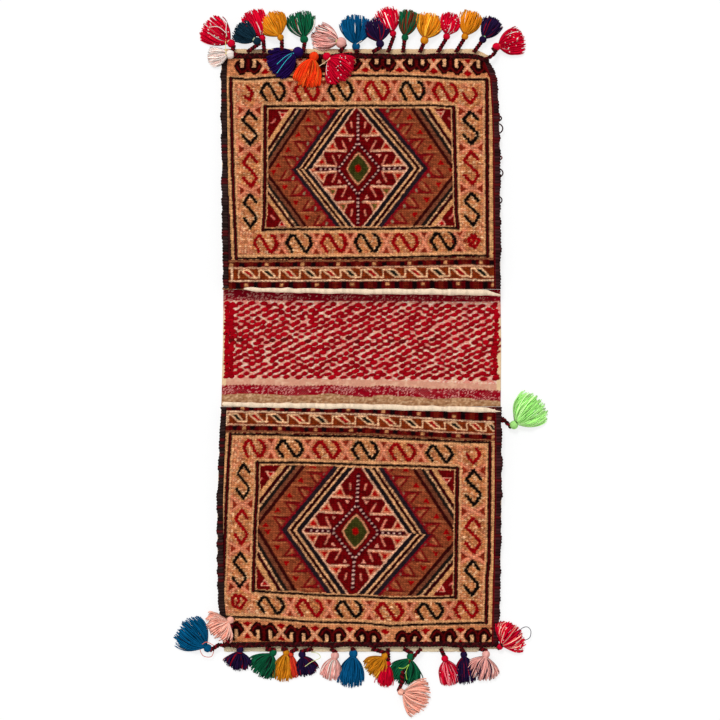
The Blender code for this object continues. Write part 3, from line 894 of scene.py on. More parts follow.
def draw_face(label, x, y):
    """The colours of a pouch's face at plan places x and y, which are first shaken a little, as hand
    stitches are."""
    plan = PLANS[label]
    x = x + (value_noise(x / 1.7, y / 1.5, 11) - 0.5) * 1.0
    y = y + (value_noise(x / 1.9, y / 1.3, 12) - 0.5) * 1.0
    s, t = straightened(plan, x, y)
    cloth = dyed(s, t, TAN)
    border(cloth, plan)
    field(cloth, x, y, plan)
    upper = label == "upper"
    to_end = FRAME["top"] - t if upper else t - FRAME["bottom"]
    to_mouth = t - FRAME["bottom"] if upper else FRAME["top"] - t
    to_mouth = to_mouth * (1 + np.clip((x - 390) / 85, 0, 1.2) * (-0.07 if upper else 0.08))
    outside = cloth.on(x, y)
    past_side = ((s < FRAME["left"] - 3.5) | (s > FRAME["right"] + 3.5)) & (to_end < 2) & (to_mouth < 2)
    outside.fill(past_side * 1.0, dye(210, 156, 100))
    outside.fill((past_side & (s > FRAME["right"] + 5.6)) * 1.0, dye(120, 8, 14))
    outside.fill((past_side & (s < FRAME["left"] - 4.8)) * 1.0, dye(60, 24, 26))
    outside.fill((to_end > 2.6) * 1.0, TAN)
    outside.fill((to_end > 2.6) * np.clip(value_noise(x / 3.0, y / 2.0, 14) * 1.6 - 0.7, 0, 0.7),
                 dye(206, 128, 84))
    horns(outside, 20.0 - to_end if upper else 20.6 - to_end, plan["stems"])
    outside.fill((to_mouth > 1.5) * 1.0, dye(92, 8, 12))
    outside.band(to_mouth, 2.2, 3.4, dye(150, 96, 62))
    high = 8.9
    checker(outside, to_mouth, 3.8, high, 242.0 if upper else 235.0, 17.8, 267.0 if upper else 280.0, 6.2)
    outside.band(to_mouth, high, high + 1.5, dye(222, 164, 126))
    band_low = high + 1.5
    outside.band(to_mouth, band_low + 11.2, band_low + 12.8, dye(236, 190, 152))
    checker(outside, to_mouth, band_low + 12.9, band_low + 30, 238.5 if upper else 234.0, 17.6,
            281.8 if upper else 277.8,
            band_low + 16.0)
    zigzag(outside, to_mouth - band_low if upper else band_low + 11.2 - to_mouth, plan["first_red"],
           plan["uprights"])
    for column in (232.3, 496.6) if upper else (226.6, 498.0):
        ends = cloth.on(np.where((to_mouth > high) & (to_mouth < band_low + 12.6), x, -999.0), y * 0)
        ends.line([(column, 0), (column, 0.01)], 1.9, dye(238, 192, 152))
    return cloth.colour


FACE_STEP = 0.00125


def face_height(label, reach):
    """Height of a face's top at a distance from the middle: straight from its mouth to its closed end."""
    low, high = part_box(f"{label}_front_panel")
    ends = sorted((abs(low.y), abs(high.y)))
    slab = 0.004
    return np.interp(reach, ends, [high.z, low.z + slab])


faces = {}
for label, side in (("upper", 1), ("lower", -1)):
    low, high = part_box(f"{label}_front_panel")
    near, far = sorted((abs(low.y), abs(high.y)))
    wide = float(high.x) + 0.0012
    columns = np.linspace(-wide - 0.0018, wide, int(2 * wide / FACE_STEP) + 2)
    reaches = np.linspace(near - 0.0040, far + 0.0006, int((far - near + 0.0046) / FACE_STEP) + 1)
    grid_x, grid_reach = np.meshgrid(columns, reaches)
    points = np.stack([grid_x, grid_reach * side, face_height(label, grid_reach)], -1)
    points = settle(points)
    x, y = plan_of(points)
    swell = value_noise(x / 31.0, y / 24.0, 21) - 0.5 + 0.5 * (value_noise(x / 11.0, y / 9.0, 22) - 0.5)
    edge = np.clip(np.minimum(wide - np.abs(grid_x), np.minimum(grid_reach - near, far - grid_reach)) / 0.02,
                   0, 1)
    points[..., 2] += 0.0002 + swell * 0.0024 * edge
    shades = draw_face(label, x, y)
    faces[label] = make(f"{label}_face_cloth", [weave(points[None], flip=side < 0)], soumak, shades)
    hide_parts(f"{label}_front_panel")
    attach(faces[label], f"{label}_face")
    print(label, "face", len(faces[label].data.polygons), "faces")

# %% [markdown]
# The bridge is the same web as the backs, with red weft floats on a pink ground. A wide cloth that folds at
# two places is made as two closed halves, one on the side of each pouch. The stripes are drawn on the cloth,
# and the floats are real raised stitches over it, because their shadows make the strip look woven.

# %% The bridge's two halves
BRIDGE_COLUMNS = (222.0, 501.0)
STRIPE_COLUMNS = (222.0, 388.0, 474.0, 501.0)
STRIPE_ROWS = {
    "pink": (300.3, 301.0, 301.5, 301.6), "band": (379.0, 381.1, 384.6, 385.4),
    "twill": (385.0, 386.5, 389.8, 390.6),
    "beige": (394.0, 396.1, 399.8, 400.6),
}
BRIDGE_PINK = dye(236, 150, 132)
BRIDGE_REACH = 0.0880


def stripe_row(name, x):
    """Row of a stripe's upper edge at column x, straight between its four places."""
    return np.interp(x, STRIPE_COLUMNS, STRIPE_ROWS[name])


def draw_bridge(x, y):
    """Pink ground with a maroon strip, a pale band, a hatched red stripe, a beige strip and cream edges.

    Gives the drawing and the alpha of its hatch: 1 for none, 0 where every pale thread shows.
    """
    cloth = dyed(x, y, BRIDGE_PINK)
    mottled = value_noise(x / 3.1, y / 2.2, 31)
    cloth.fill(np.clip(mottled * 2.2 - 1.0, 0, 0.8), dye(252, 206, 170))
    cloth.fill((value_noise(x / 1.5, y / 1.2, 39) > 0.66) * 0.7, dye(255, 236, 214))
    cloth.fill(np.clip(value_noise(x / 2.0, y / 1.4, 32) * 2.4 - 1.5, 0, 0.6), dye(206, 92, 92))
    strip = y < stripe_row("pink", x) + (mottled - 0.5)
    cloth.fill(strip * 1.0, dye(150, 8, 30))
    grains = value_noise(x / 0.95, y / 0.75, 38)
    cloth.fill(strip * (grains > 0.80 - 0.12 * (x < 290)) * 0.7, dye(236, 176, 160))
    cloth.fill(strip * (grains < 0.22) * 0.8, dye(92, 2, 14))
    band = y > stripe_row("band", x) - 1
    cloth.fill(band * 1.0, dye(226, 160, 134))
    cloth.fill(band * np.clip(mottled * 2.0 - 1.0, 0, 0.8), dye(244, 196, 164))
    wave = 0.9 * np.sin(x / 11.0) + 1.6 * (value_noise(x / 9.0, y * 0, 33) - 0.5)
    teeth = 0.8 * np.abs(np.mod(x, 3.4) - 1.7)
    twill = (y > stripe_row("twill", x) + 0.5 * wave + teeth - 0.8) & (y < stripe_row("beige", x) + wave)
    cloth.fill(twill * 1.0, dye(158, 8, 30))
    cloth.fill(twill * (grains > 0.72) * 0.75, dye(240, 170, 160))
    cloth.fill(twill * (grains < 0.26) * 0.8, dye(112, 2, 18))
    beige = y > stripe_row("beige", x) + wave
    cloth.fill(beige * 1.0, dye(192, 140, 98))
    cloth.fill(beige * np.clip(value_noise(x / 3.0, y / 1.4, 35) * 2.0 - 0.8, 0, 0.8), dye(152, 100, 64))
    cloth.fill(beige * np.clip(value_noise(x / 1.6, y / 1.0, 37) * 2.4 - 1.1, 0, 0.9), dye(236, 196, 154))
    edge = 2.6 + 1.6 * value_noise(y / 5.0, x * 0, 36)
    selvedge = (x < BRIDGE_COLUMNS[0] + edge) | (x > BRIDGE_COLUMNS[1] - edge)
    cloth.fill(selvedge & (y > 318) & ~twill & ~beige, dye(246, 208, 162))
    patches = value_noise(x / 8.0, y / 3.0, 34)
    hatch = twill * np.clip(0.24 - 0.4 * patches, 0.0, 0.15) + strip * np.clip(patches * 0.6 - 0.4, 0.0, 0.1)
    return cloth, 1 - hatch


def float_places():
    """Columns, rows, reaches and chances of the floats: rows 3.04 squares apart, every other one shifted
    along."""
    rng = np.random.default_rng(41)
    places = []
    for number, row in enumerate(np.arange(302.9, 378.2, 3.04)):
        start = 228.0 + (5.8 if number % 2 else 0.0)
        columns = np.arange(start, 499.0, 11.62)
        columns = columns + rng.normal(0, 0.75, len(columns)) + 1.6 * np.sin(row / 9.0 + columns / 60.0)
        rows = row + (columns - 222) / 279.0 * 3.2 + rng.normal(0, 0.34, len(columns))
        places.append(np.stack([columns, rows, rng.uniform(2.5, 4.3, len(columns)),
                                rng.random(len(columns))], -1))
    return np.concatenate(places)


floats = float_places()
lows = {}
for label, side in (("upper", 1), ("lower", -1)):
    thick = float(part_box(f"{label}_back_cloth")[1].z)
    rows = np.linspace(0.0, BRIDGE_REACH, 85) * side
    columns = np.linspace(-half_bag, half_bag, 300)
    top = np.stack(np.broadcast_arrays(columns[None], rows[:, None], thick - 0.0002), -1)
    under = top[:, ::-1].copy()
    under[..., 2] = 0.0003
    points = settle(np.concatenate([top, under], axis=1))
    x, y = plan_of(points)
    upside = np.arange(points.shape[1]) < len(columns)
    points[..., 2] += upside * (value_noise(x / 17.0, y / 12.0, 43) - 0.5) * 0.0006
    cloth, hatch = draw_bridge(x, y)
    # neighbouring floats often run together up to the right, so the cloth is red between them
    for column, row, reach, chance in floats:
        if chance > 0.62:
            cloth.line([(column, row), (column + 5.8, row - 3.0)], 2.5, dye(150, 6, 22))
        if chance < 0.20 and row < 373:
            cloth.line([(column, row), (column + 5.6, row + 3.0)], 2.4, dye(150, 6, 22))
        cloth.line([(column - reach * 0.7, row + 0.3), (column + reach * 0.7, row - 0.2)], 2.8,
                   dye(126, 4, 14))
    lows[label] = make(f"{label}_bridge_cloth", [weave(points[None], ring=True, capped=True, flip=side < 0)],
                       hatched, np.concatenate([cloth.colour, hatch[..., None]], axis=-1))
    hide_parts("bridge_cloth")

    # raised floats: low domes, longer than wide, tilted up to the right
    chosen = floats[(along(floats[:, 1]) * side > 0.0004)]
    rng = np.random.default_rng(44)
    blob_rows = np.arange(304.0, 379.0, 3.3)
    count = len(blob_rows)
    edges = [np.stack([np.full(count, column) + rng.normal(0, 0.7, count), blob_rows,
                       rng.uniform(2.4, 3.8, count), rng.random(count)], -1) for column in (226.6, 231.2,
                                                                                            495.6)]
    edges = np.concatenate(edges)
    chosen = np.concatenate([chosen, edges[(along(edges[:, 1]) * side > 0.0004)]])
    turn = np.linspace(0, 2 * math.pi, 8, endpoint=False)
    slope = 0.10 + 0.34 * (rng.random(len(chosen)) - 0.45)
    rise = np.array([1.0, 0.80, 0.34])
    lift = np.array([0.0, 0.62, 1.0])
    wide = chosen[:, 2] * SQUARE
    tall = 0.0027 + 0.0016 * rng.random(len(chosen))
    local_x = wide[:, None, None] * rise[:, None] * np.cos(turn)
    local_y = tall[:, None, None] * rise[:, None] * np.sin(turn) + local_x * slope[:, None, None]
    domes = np.stack([
        across(chosen[:, 0])[:, None, None] + local_x, along(chosen[:, 1])[:, None, None] + local_y,
        np.broadcast_to(thick - 0.0004 + 0.0013 * lift[:, None], local_x.shape)], -1)
    shade = dye(168, 4, 20) * (0.66 + 0.5 * rng.random(len(chosen)))[:, None]
    worn = (np.abs(chosen[:, 1] - 339.5) < 2.0) & (chosen[:, 3] > 0.55)
    shade[worn] = dye(104, 12, 16)
    shades = np.broadcast_to(shade[:, None, None], domes.shape)
    stitches_up = make(f"{label}_weft_floats", [weave(domes, ring=True, capped=True)], yarn, shades.copy())
    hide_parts("bridge_cloth")
    for piece in (lows[label], stitches_up):
        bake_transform(piece)
    print(label, "bridge half with", len(chosen), "floats")

# %% [markdown]
# Each back is the plain striped end of the same web. It shows only as a thin cream edge past the braid, yet
# a pouch without a back would be open from behind. It is a closed slab, because both of its sides are seen.

# %% Backs of the pouches
backs = {}
for label, side in (("upper", 1), ("lower", -1)):
    low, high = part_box(f"{label}_back_cloth")
    far = max(abs(low.y), abs(high.y))
    rows = np.linspace(BRIDGE_REACH + 0.0003, far, 120) * side
    columns = np.linspace(-half_bag, half_bag, 120)
    top = np.stack(np.broadcast_arrays(columns[None], rows[:, None], high.z - 0.0003), -1)
    under = top[:, ::-1].copy()
    under[..., 2] = 0.0011
    points = settle(np.concatenate([top, under], axis=1))
    x, y = plan_of(points)
    ragged = (value_noise(x / 4.0, y * 0, 51) - 0.5) * 0.0018 * (np.abs(points[..., 1]) > far - 0.004)
    corner_x = np.clip((points[..., 0] - 0.168) / 0.022, 0, 1) ** 2
    corner_y = np.clip((np.abs(points[..., 1]) - far) / 0.014 + 1, 0, 1)
    points[..., 1] -= side * (np.abs(ragged) + 0.0040 * (corner_x * corner_y))
    stripes = dyed(x, y, dye(240, 204, 170))
    for first in (66, 120, 174, 228):
        stripes.band(np.abs(y - MIDDLE_ROW), first, first + 9, dye(150, 118, 84))
        stripes.band(np.abs(y - MIDDLE_ROW), first + 24, first + 28, dye(96, 66, 50))
    # the band past the braid is the cloth's cream, painted a darker tan at the upper end as shade lying on
    # it there
    stripes.band(np.abs(y - MIDDLE_ROW), 280, 330, dye(246, 208, 162) if side > 0 else dye(255, 232, 192))
    backs[label] = make(f"{label}_back", [weave(points[None], ring=True, capped=True, flip=side < 0)], plain,
                        stripes.colour)
    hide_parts(f"{label}_back_cloth")
    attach(backs[label], f"{label}_pouch")

# %% [markdown]
# The mouths are finished with a roll of plain cream cloth, thin at the left and fuller towards the right. A
# roll is a tube along the mouth. Its radius and its height wander a little, or it would look like a plastic
# rod.

# %% Rolled hems
HEM_COLUMNS = [221, 226, 236, 246, 256, 300, 360, 430, 486, 497, 501]
# each roll's rows and its radii in squares, at those columns
HEMS = {
    "upper": ([289, 289, 288.6, 288.6, 289.6, 290.8, 291.6, 291.8, 293.0, 294.6, 295.4],
              [0.8, 0.8, 0.8, 1.4, 2.2, 2.4, 2.6, 3.0, 2.8, 1.2, 0.8]),
    "lower": ([403.8, 404, 404.3, 404.6, 405, 405.6, 406.4, 408.4, 410.0, 410.6, 411.0],
              [1.4, 2.0, 2.2, 2.4, 2.5, 2.6, 2.7, 2.8, 2.6, 1.8, 1.2]),
}
hems = {}
for label, side in (("upper", 1), ("lower", -1)):
    low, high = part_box(f"{label}_mouth_hem")
    column = np.linspace(222.4, 500.4, 260)
    row = np.interp(column, HEM_COLUMNS, HEMS[label][0]) + (value_noise(column / 9.0, column * 0,
                                                                        61) - 0.5) * 0.6
    radius = np.interp(column, HEM_COLUMNS, HEMS[label][1]) * SQUARE
    radius = radius * (0.9 + 0.25 * value_noise(column / 6.0, column * 0, 62))
    radius[[0, -1]] *= 0.35
    path = np.stack([across(column), along(row), np.full(len(column), high.z - 0.0042)], -1)
    path[:, 2] += (value_noise(column / 14.0, column * 0, 63) - 0.5) * 0.0008
    rings = tube(path[None], radius[None], sides=14, flat=0.85)
    shades = dye(255, 230, 200) * (0.84 + 0.28 * value_noise(column / 2.2, column * 0, 64))[:, None]
    tucked = (column < 244)[:, None] & (label == "upper")
    shades = np.where(tucked, dye(150, 104, 70), shades)
    shades = np.broadcast_to(shades[None, :, None], rings.shape)
    hems[label] = make(f"{label}_hem", [weave(rings, ring=True, capped=True, flip=True)], plain,
                       shades.copy())
    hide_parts(f"{label}_mouth_hem")
    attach(hems[label], f"{label}_face")

# %% [markdown]
# Down both sides, dark wool is whipped round the two cloths and closes the pouch. Each turn of the yarn
# makes one slanted ridge. The seam is a band with a round edge, and its surface rises by the sine of a half
# turn for each stitch.

# %% Whip-stitched side seams
STITCH_PITCH = 0.0046
LEFT_TIGHTER = 0.0009


def seam(label, side, edge):
    """A whipped edge along one side: rounded box sections, raised by 1.2 mm sideways and 0.8 mm up at each
    ridge."""
    rows = np.arange(0.0885, max(abs(c.y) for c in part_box(f"{label}_front_panel")) + 0.0030, 0.0006)
    angle = np.arange(18) * (2 * math.pi / 18)
    top = face_height(label, rows) + 0.0009
    middle, half_height = (top + 0.0002) / 2, (top - 0.0002) / 2
    squared = 0.62
    out_x = np.sign(np.cos(angle)) * np.abs(np.cos(angle)) ** squared
    out_z = np.sign(np.sin(angle)) * np.abs(np.sin(angle)) ** squared
    ridge = np.abs(np.sin(math.pi * (rows[:, None] / STITCH_PITCH + edge * np.sin(angle) * 0.35)))
    slack = value_noise(rows / 0.0105, rows * 0, 75 + int(edge) + 3 * side)[:, None] - 0.5
    fray = value_noise(rows / 0.0036, rows * 0, 85 + int(edge) + 3 * side)[:, None] - 0.5
    half_width = 0.0051 + 0.0012 * ridge + 0.0022 * slack + 0.0010 * fray
    if edge < 0:
        # the left seams are drawn tighter
        half_width = half_width - LEFT_TIGHTER
    x = edge * (0.2042 + LEFT_TIGHTER * (edge < 0) + 0.0010 * slack) + half_width * out_x
    z = middle[:, None] + (half_height[:, None] - 0.0006 + 0.0008 * ridge) * out_z
    points = np.stack([x, np.broadcast_to(rows[:, None] * side, x.shape), np.maximum(z, 0.0001)], -1)
    points = settle(points)
    number = np.floor(rows[:, None] / STITCH_PITCH + edge * np.sin(angle) * 0.35).astype(int)
    rng = np.random.default_rng(71 + int(edge) + 5 * side)
    tone = rng.random(400)
    dark = dye(48, 32, 30) if edge < 0 else dye(60, 30, 32)
    shades = np.where((tone[number] > 0.82)[..., None], dye(78, 20, 22),
                      dark * (0.5 + 1.0 * tone[number])[..., None])
    fibres = value_noise(rows[:, None] / 0.0011, angle[None] * 3.0, 76)
    # painted shade: ridge dims each whip stitch to 0.45 of its dye in the groove between ridges; fibres is
    # the yarn's own random tone
    shades = shades * ((0.45 + 0.75 * ridge) * (0.7 + 0.6 * fibres))[..., None]
    if edge > 0:
        # a maroon line shows inside the right seams
        shades[:, np.cos(angle) < -0.2] = dye(104, 6, 14)
    return points, shades


# stitches that have worked loose: first and last row, the column they bow out to, and their dye
LOOSE_STITCHES = {
    ("upper", "right"): [(115, 121, 502.4, dye(52, 14, 18)), (123.5, 133, 503.6, dye(52, 14, 18)),
                         (155, 160, 502.8, dye(120, 16, 20)), (168.5, 177, 503.8, dye(60, 14, 18)),
                         (196, 204, 502.8, dye(52, 14, 18))],
    ("lower", "right"): [(544, 549, 499.8, dye(140, 12, 18)), (568, 575, 499.6, dye(48, 14, 18)),
                         (577, 584, 498.8, dye(140, 12, 18)), (586, 593, 498.6, dye(140, 12, 18))],
}
for label, side in (("upper", 1), ("lower", -1)):
    for edge, name in ((-1.0, "left"), (1.0, "right")):
        points, shades = seam(label, side, edge)
        parts, colours = [weave(points[None], ring=True, capped=True, flip=side > 0)], [shades.reshape(-1,
                                                                                                       3)]
        for top_row, bottom_row, out, loop_dye in LOOSE_STITCHES.get((label, name), []):
            t = np.linspace(0, 1, 14)
            bulge = np.sin(math.pi * t) ** 0.7
            bow = np.stack([across(out - 4.0 + 3.3 * bulge), along(top_row + (bottom_row - top_row) * t),
                            0.005 + 0.002 * bulge], -1)
            loop = tube(bow[None], 0.0010, sides=6)
            parts.append(weave(loop, ring=True, capped=True, flip=True))
            colours.append(np.tile(loop_dye, (loop[..., 0].size, 1)))
        piece = make(f"{label}_{name}_whipping", parts, yarn, np.concatenate(colours))
        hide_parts(f"{label}_{name}_seam")
        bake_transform(piece)

# %% [markdown]
# Across each closed end runs a dark braid of three yarns, which the tassels hang from. In a flat braid
# every yarn swings from side to side once while it rises and dips twice, a third of a turn behind the next
# yarn.

# %% Braids at the closed ends
COLD_BROWN, DARK_RED_YARN = dye(52, 18, 18), dye(112, 14, 26)
# a cord runs on from one corner of each braid to the tassel that hangs past it
CORNER_CORDS = {
    "upper": [(486.5, 58.8, 0.0100), (491.5, 56.0, 0.0108), (495.96, 51.8, 0.0094)],
    "lower": [(225.5, 646.0, 0.0090), (222.0, 645.4, 0.0094), (219.33, 644.7, 0.0078)],
}


def smooth_path(corners, count):
    """A path of count points through the corners: between two of them, a cubic in which their neighbours
    share."""
    p = np.asarray(corners, float)
    p = np.concatenate([[2 * p[0] - p[1]], p, [2 * p[-1] - p[-2]]])
    t = np.linspace(0, len(p) - 3 - 1e-6, count)
    i, f = t.astype(int), (t % 1)[:, None]
    a, b, c, d = p[i], p[i + 1], p[i + 2], p[i + 3]
    curve = 2 * b + (c - a) * f + (2 * a - 5 * b + 4 * c - d) * f ** 2
    return 0.5 * (curve + (3 * b - a - 3 * c + d) * f ** 3)


def twisted(path, radius, turns, first, second):
    """Two yarns wound round each other: each runs half a turn behind the other, at its radius from the
    path."""
    forward = unit(np.gradient(path, axis=0))
    side = unit(np.cross(forward, [0.0, 0.0, 1.0]))
    up = np.cross(side, forward)
    angle = np.linspace(0, turns * 2 * math.pi, len(path))[:, None]
    pair = [path + radius * (np.cos(angle + h) * side + np.sin(angle + h) * up) for h in (0, math.pi)]
    rings = tube(np.stack(pair), radius * 1.08, sides=6)
    shades = np.broadcast_to(np.stack([first, second])[:, None, None], rings.shape)
    return weave(rings, ring=True, capped=True, flip=True), shades.reshape(-1, 3)


for label, side in (("upper", 1), ("lower", -1)):
    low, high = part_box(f"{label}_end_braid")
    centre_y, centre_z = (low.y + high.y) / 2, (low.z + high.z) / 2
    x = np.linspace(-half_bag + 0.0015, half_bag - 0.0015, 720)
    wander = (value_noise(x / 0.021, x * 0, 81 + side) - 0.5) * 0.0026
    strands = []
    for third in range(3):
        phase = 2 * math.pi * (x / 0.0150 + third / 3)
        strand_y = centre_y + wander + 0.0021 * np.sin(phase)
        strand_z = centre_z + 0.0013 * np.sin(2 * phase)
        strands.append(np.stack([x, strand_y, strand_z], -1))
    path = settle(np.stack(strands))
    rings = tube(path, 0.00205, sides=8)
    shades = np.stack([dye(40, 14, 15), dye(54, 17, 20), dye(76, 14, 19)])[:, None, None]
    fuzz = 0.7 + 0.6 * value_noise(x / 0.0022, x * 0, 83)[None, :, None, None]
    cord = smooth_path([(across(c), along(r), z) for c, r, z in CORNER_CORDS[label]], 24)
    corner, colours = twisted(cord, 0.00150, 1.4, COLD_BROWN, DARK_RED_YARN)
    piece = make(f"{label}_braid", [weave(rings, ring=True, capped=True, flip=True), corner], yarn,
                 np.concatenate([(np.broadcast_to(shades, rings.shape) * fuzz).reshape(-1, 3), colours]))
    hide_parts(f"{label}_end_braid")
    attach(piece, f"{label}_pouch")

# %% [markdown]
# A tassel is a hank of yarn folded over the end of a twisted cord and tied under the fold, so that it has a
# round head and a skirt of cut ends. Laid down, the skirt fans out. Each strand starts straight at the tie
# and turns to its own angle, and the whole fan rests on whatever lies under it. Every strand is a thin
# tapered tube with its own tone, since a skirt made as one solid cone would look like a bottle. The strands
# that lie underneath, and every strand near the tie, are painted darker as shade, and the tips are painted
# lighter as light.

# %% How one tassel is made
anchors = {joint["name"]: joint for joint in frame["joints"]}


def ground_height(points):
    """What lies under a point: the face with its slope inside the seams, the back's edge past it, or the
    floor."""
    reach = np.abs(points[..., 1])
    closed = np.where(points[..., 1] > 0, 0.4400, 0.4470)
    level = np.interp(reach, [0.09, 0.44], [0.0193, 0.0073]) + 0.0008
    row = MIDDLE_ROW - points[..., 1] / SQUARE
    left, right = across(np.interp(row, EDGE_ROWS, LEFT_EDGE)), across(np.interp(row, EDGE_ROWS, RIGHT_EDGE))
    from_side = np.minimum(points[..., 0] - left, right - points[..., 0])
    inside = np.clip(np.minimum(from_side, closed - reach) / 0.006 + 0.5, 0, 1)
    beyond = np.clip((closed + 0.010 - reach) / 0.004, 0, 1) * (from_side > 0)
    return np.maximum(level * inside * inside * (3 - 2 * inside), 0.003 * beyond)


def tassel(node, colour, head, tip, spread, mixed=(), tie=None, strands=200, size=4.2, cord=(), threads=(),
           fat=1.0,
           flecks=0, lift=0.0):
    """One tassel from its joint to its tip. head and tip are places on the plan and spread is half its fan,
    in degrees.

    Strand k ends at its own angle and runs there in a curve of three points P, C and E: its place at t is (1
    - t) squared P + 2 t (1 - t) C + t squared E. C lies far out and near the tie, so that the skirt is full
    there.
    """
    label, number = node.split("_")[0], node.split("_")[2]
    rng = np.random.default_rng(sum(map(ord, node)))
    root = np.array(anchors[f"swing_{label}_{number}"]["pos_m"])
    head_at = np.array([across(head[0]), across(MIDDLE_COLUMN) + along(head[1])])
    tip_at = np.array([across(tip[0]), along(tip[1])])
    length = np.linalg.norm(tip_at - head_at)
    ahead = (tip_at - head_at) / length
    beside = np.array([-ahead[1], ahead[0]])
    ball = size * SQUARE
    base = float(ground_height(np.array([*head_at, 0.0]))) + lift
    middle = base + ball * 0.92 + 0.0004
    neck = ball * 0.62
    parts, shades = [], []

    # strands, in even rows below and at random above
    t = np.linspace(0, 1, 9)
    half = strands // 2
    share = np.concatenate([np.linspace(-1, 1, half), rng.uniform(-1, 1, strands - half)])
    layer = np.concatenate([rng.uniform(-1, -0.2, half), rng.uniform(-0.2, 1, strands - half)])
    angle = np.radians(spread * 0.80) * share + rng.normal(0, 0.05, strands)
    own = (length - ball * 0.8) * rng.uniform(0.86, 1.07, strands)
    own *= (1 - 0.08 * share ** 2) * (1 - 0.34 * np.clip(layer, 0, 1) * rng.random(strands))
    start = np.stack([np.full(strands, 0.0), share * neck * 0.9], -1)
    end = own[:, None] * np.stack([np.cos(angle), np.sin(angle)], -1)
    bend = np.stack([own * 0.30, end[:, 1] * 0.92 + share * neck * 0.6], -1)
    first, second, third = ((1 - t) ** 2)[:, None], (2 * t * (1 - t))[:, None], (t ** 2)[:, None]
    local = first * start[:, None] + second * bend[:, None] + third * end[:, None]
    curl = rng.normal(0, 0.0011, (strands, 1)) * np.sin(t * math.pi * 1.6) * t
    flat = head_at + ahead * (ball * 0.8 + local[..., :1]) + beside * (local[..., 1:] + curl[..., None])
    points = np.concatenate([flat, np.zeros(flat.shape[:2] + (1,))], -1)
    under = ground_height(points) + lift * (1 - 0.6 * t)
    settled = np.clip(t / 0.5, 0, 1) ** 2 * (3 - 2 * np.clip(t / 0.5, 0, 1))
    puff = 0.0058 * fat * np.sqrt(1 - 0.7 * share ** 2)[:, None] * (1 - t ** 3 * 0.75)[None]
    core = np.where(t < 0.5, neck + (puff - neck) * settled, puff)
    rest = (middle - base) * (1 - settled) + (0.0010 + core) * settled
    points[..., 2] = np.maximum(under + rest + core * layer[:, None], np.maximum(under + 0.0010, 0.0011))
    thicker = np.where(layer < -0.2, 1.25, 1.0)[:, None]
    radius = 0.00080 * (1 - 0.25 * t)[None] * rng.uniform(0.8, 1.2, (strands, 1)) * thicker
    rings = tube(points, radius, sides=4, turn=np.broadcast_to(rng.uniform(0, 1.5, (strands, 1)),
                                                               points.shape[:2]))
    yarns = np.tile(colour, (strands, 1))
    kinds = rng.random(strands)
    begun = 0.0
    for other, part in mixed:
        yarns[(kinds >= begun) & (kinds < begun + part)] = other
        begun += part
    # the random factor is each strand's own tone; the layer factor is painted shade, 0.68 on the strands
    # lying underneath up to 1.16 on top
    yarns = yarns * rng.uniform(0.60, 1.34, (strands, 1)) * (0.92 + 0.24 * layer)[:, None]
    # painted shade and light: each strand runs from 0.74 of its colour at the tie to 1.24 at its tip
    glow = (0.74 + 0.50 * t)[None, :, None, None]
    parts.append(weave(rings, ring=True, capped=True, flip=True))
    shades.append((np.broadcast_to(yarns[:, None, None], rings.shape) * glow).reshape(-1, 3))
    if flecks:
        # white nicks of another yarn, each a short piece of tube on a strand
        picked = rng.integers(half, strands, flecks)
        place = rng.integers(2, len(t) - 1, flecks)
        here, there = points[picked, place], points[picked, place + 1]
        bits = here[:, None] + (there - here)[:, None] * np.linspace(0.1, 0.42, 3)[:, None] + [0.0, 0.0,
                                                                                               0.0009]
        bits = tube(bits, 0.00085, sides=5)
        parts.append(weave(bits, ring=True, capped=True, flip=True))
        shades.append(np.tile(WHITE, (bits[..., 0].size, 1)))

    # head: the folded yarns show as ripples
    s = np.linspace(-0.985, 0.985, 11)
    centre = np.stack([*(head_at[:, None] + ahead[:, None] * s * ball), np.full(11, middle)], -1)
    knob = tube(centre[None], (ball * np.sqrt(1 - s ** 2) * 0.96)[None], sides=22)
    ripple = 1 + 0.045 * (-1.0) ** np.arange(22) * np.sqrt(1 - s ** 2)[:, None]
    knob = centre[None, :, None] + (knob - centre[None, :, None]) * ripple[None, ..., None]
    lobes = colour * rng.uniform(0.80, 1.15, (22, 1))
    parts.append(weave(knob, ring=True, capped=True, flip=True))
    shades.append(np.broadcast_to(lobes[None, None], knob.shape).reshape(-1, 3))

    # tie: three turns of thread round the neck
    a = np.linspace(0, 6 * math.pi, 48)
    at = head_at + ahead * ball * 0.86
    wound = np.stack([
        at[0] + ahead[0] * (a / 40 - 0.25) * 0.0018 + beside[0] * np.cos(a) * neck * 1.06,
        at[1] + ahead[1] * (a / 40 - 0.25) * 0.0018 + beside[1] * np.cos(a) * neck * 1.06,
        middle + np.sin(a) * neck * 1.06], -1)
    ring = tube(wound[None], 0.0006, sides=5)
    parts.append(weave(ring, ring=True, capped=True, flip=True))
    shades.append(np.tile(COLD_BROWN if tie is None else tie, (ring[..., 0].size, 1)))

    # hanging cord
    corners = [root] + [np.array([across(c), along(r), 0.004 + base]) for c, r in cord]
    corners.append(np.array([*(head_at - ahead * ball * 0.8), middle]))
    path = smooth_path(corners, 10 * len(corners) + 12)
    piece, colours = twisted(path, 0.00165, max(2, np.linalg.norm(np.diff(path, axis=0),
                                                                  axis=1).sum() / 0.0085),
                             COLD_BROWN, DARK_RED_YARN)
    parts.append(piece)
    shades.append(colours)

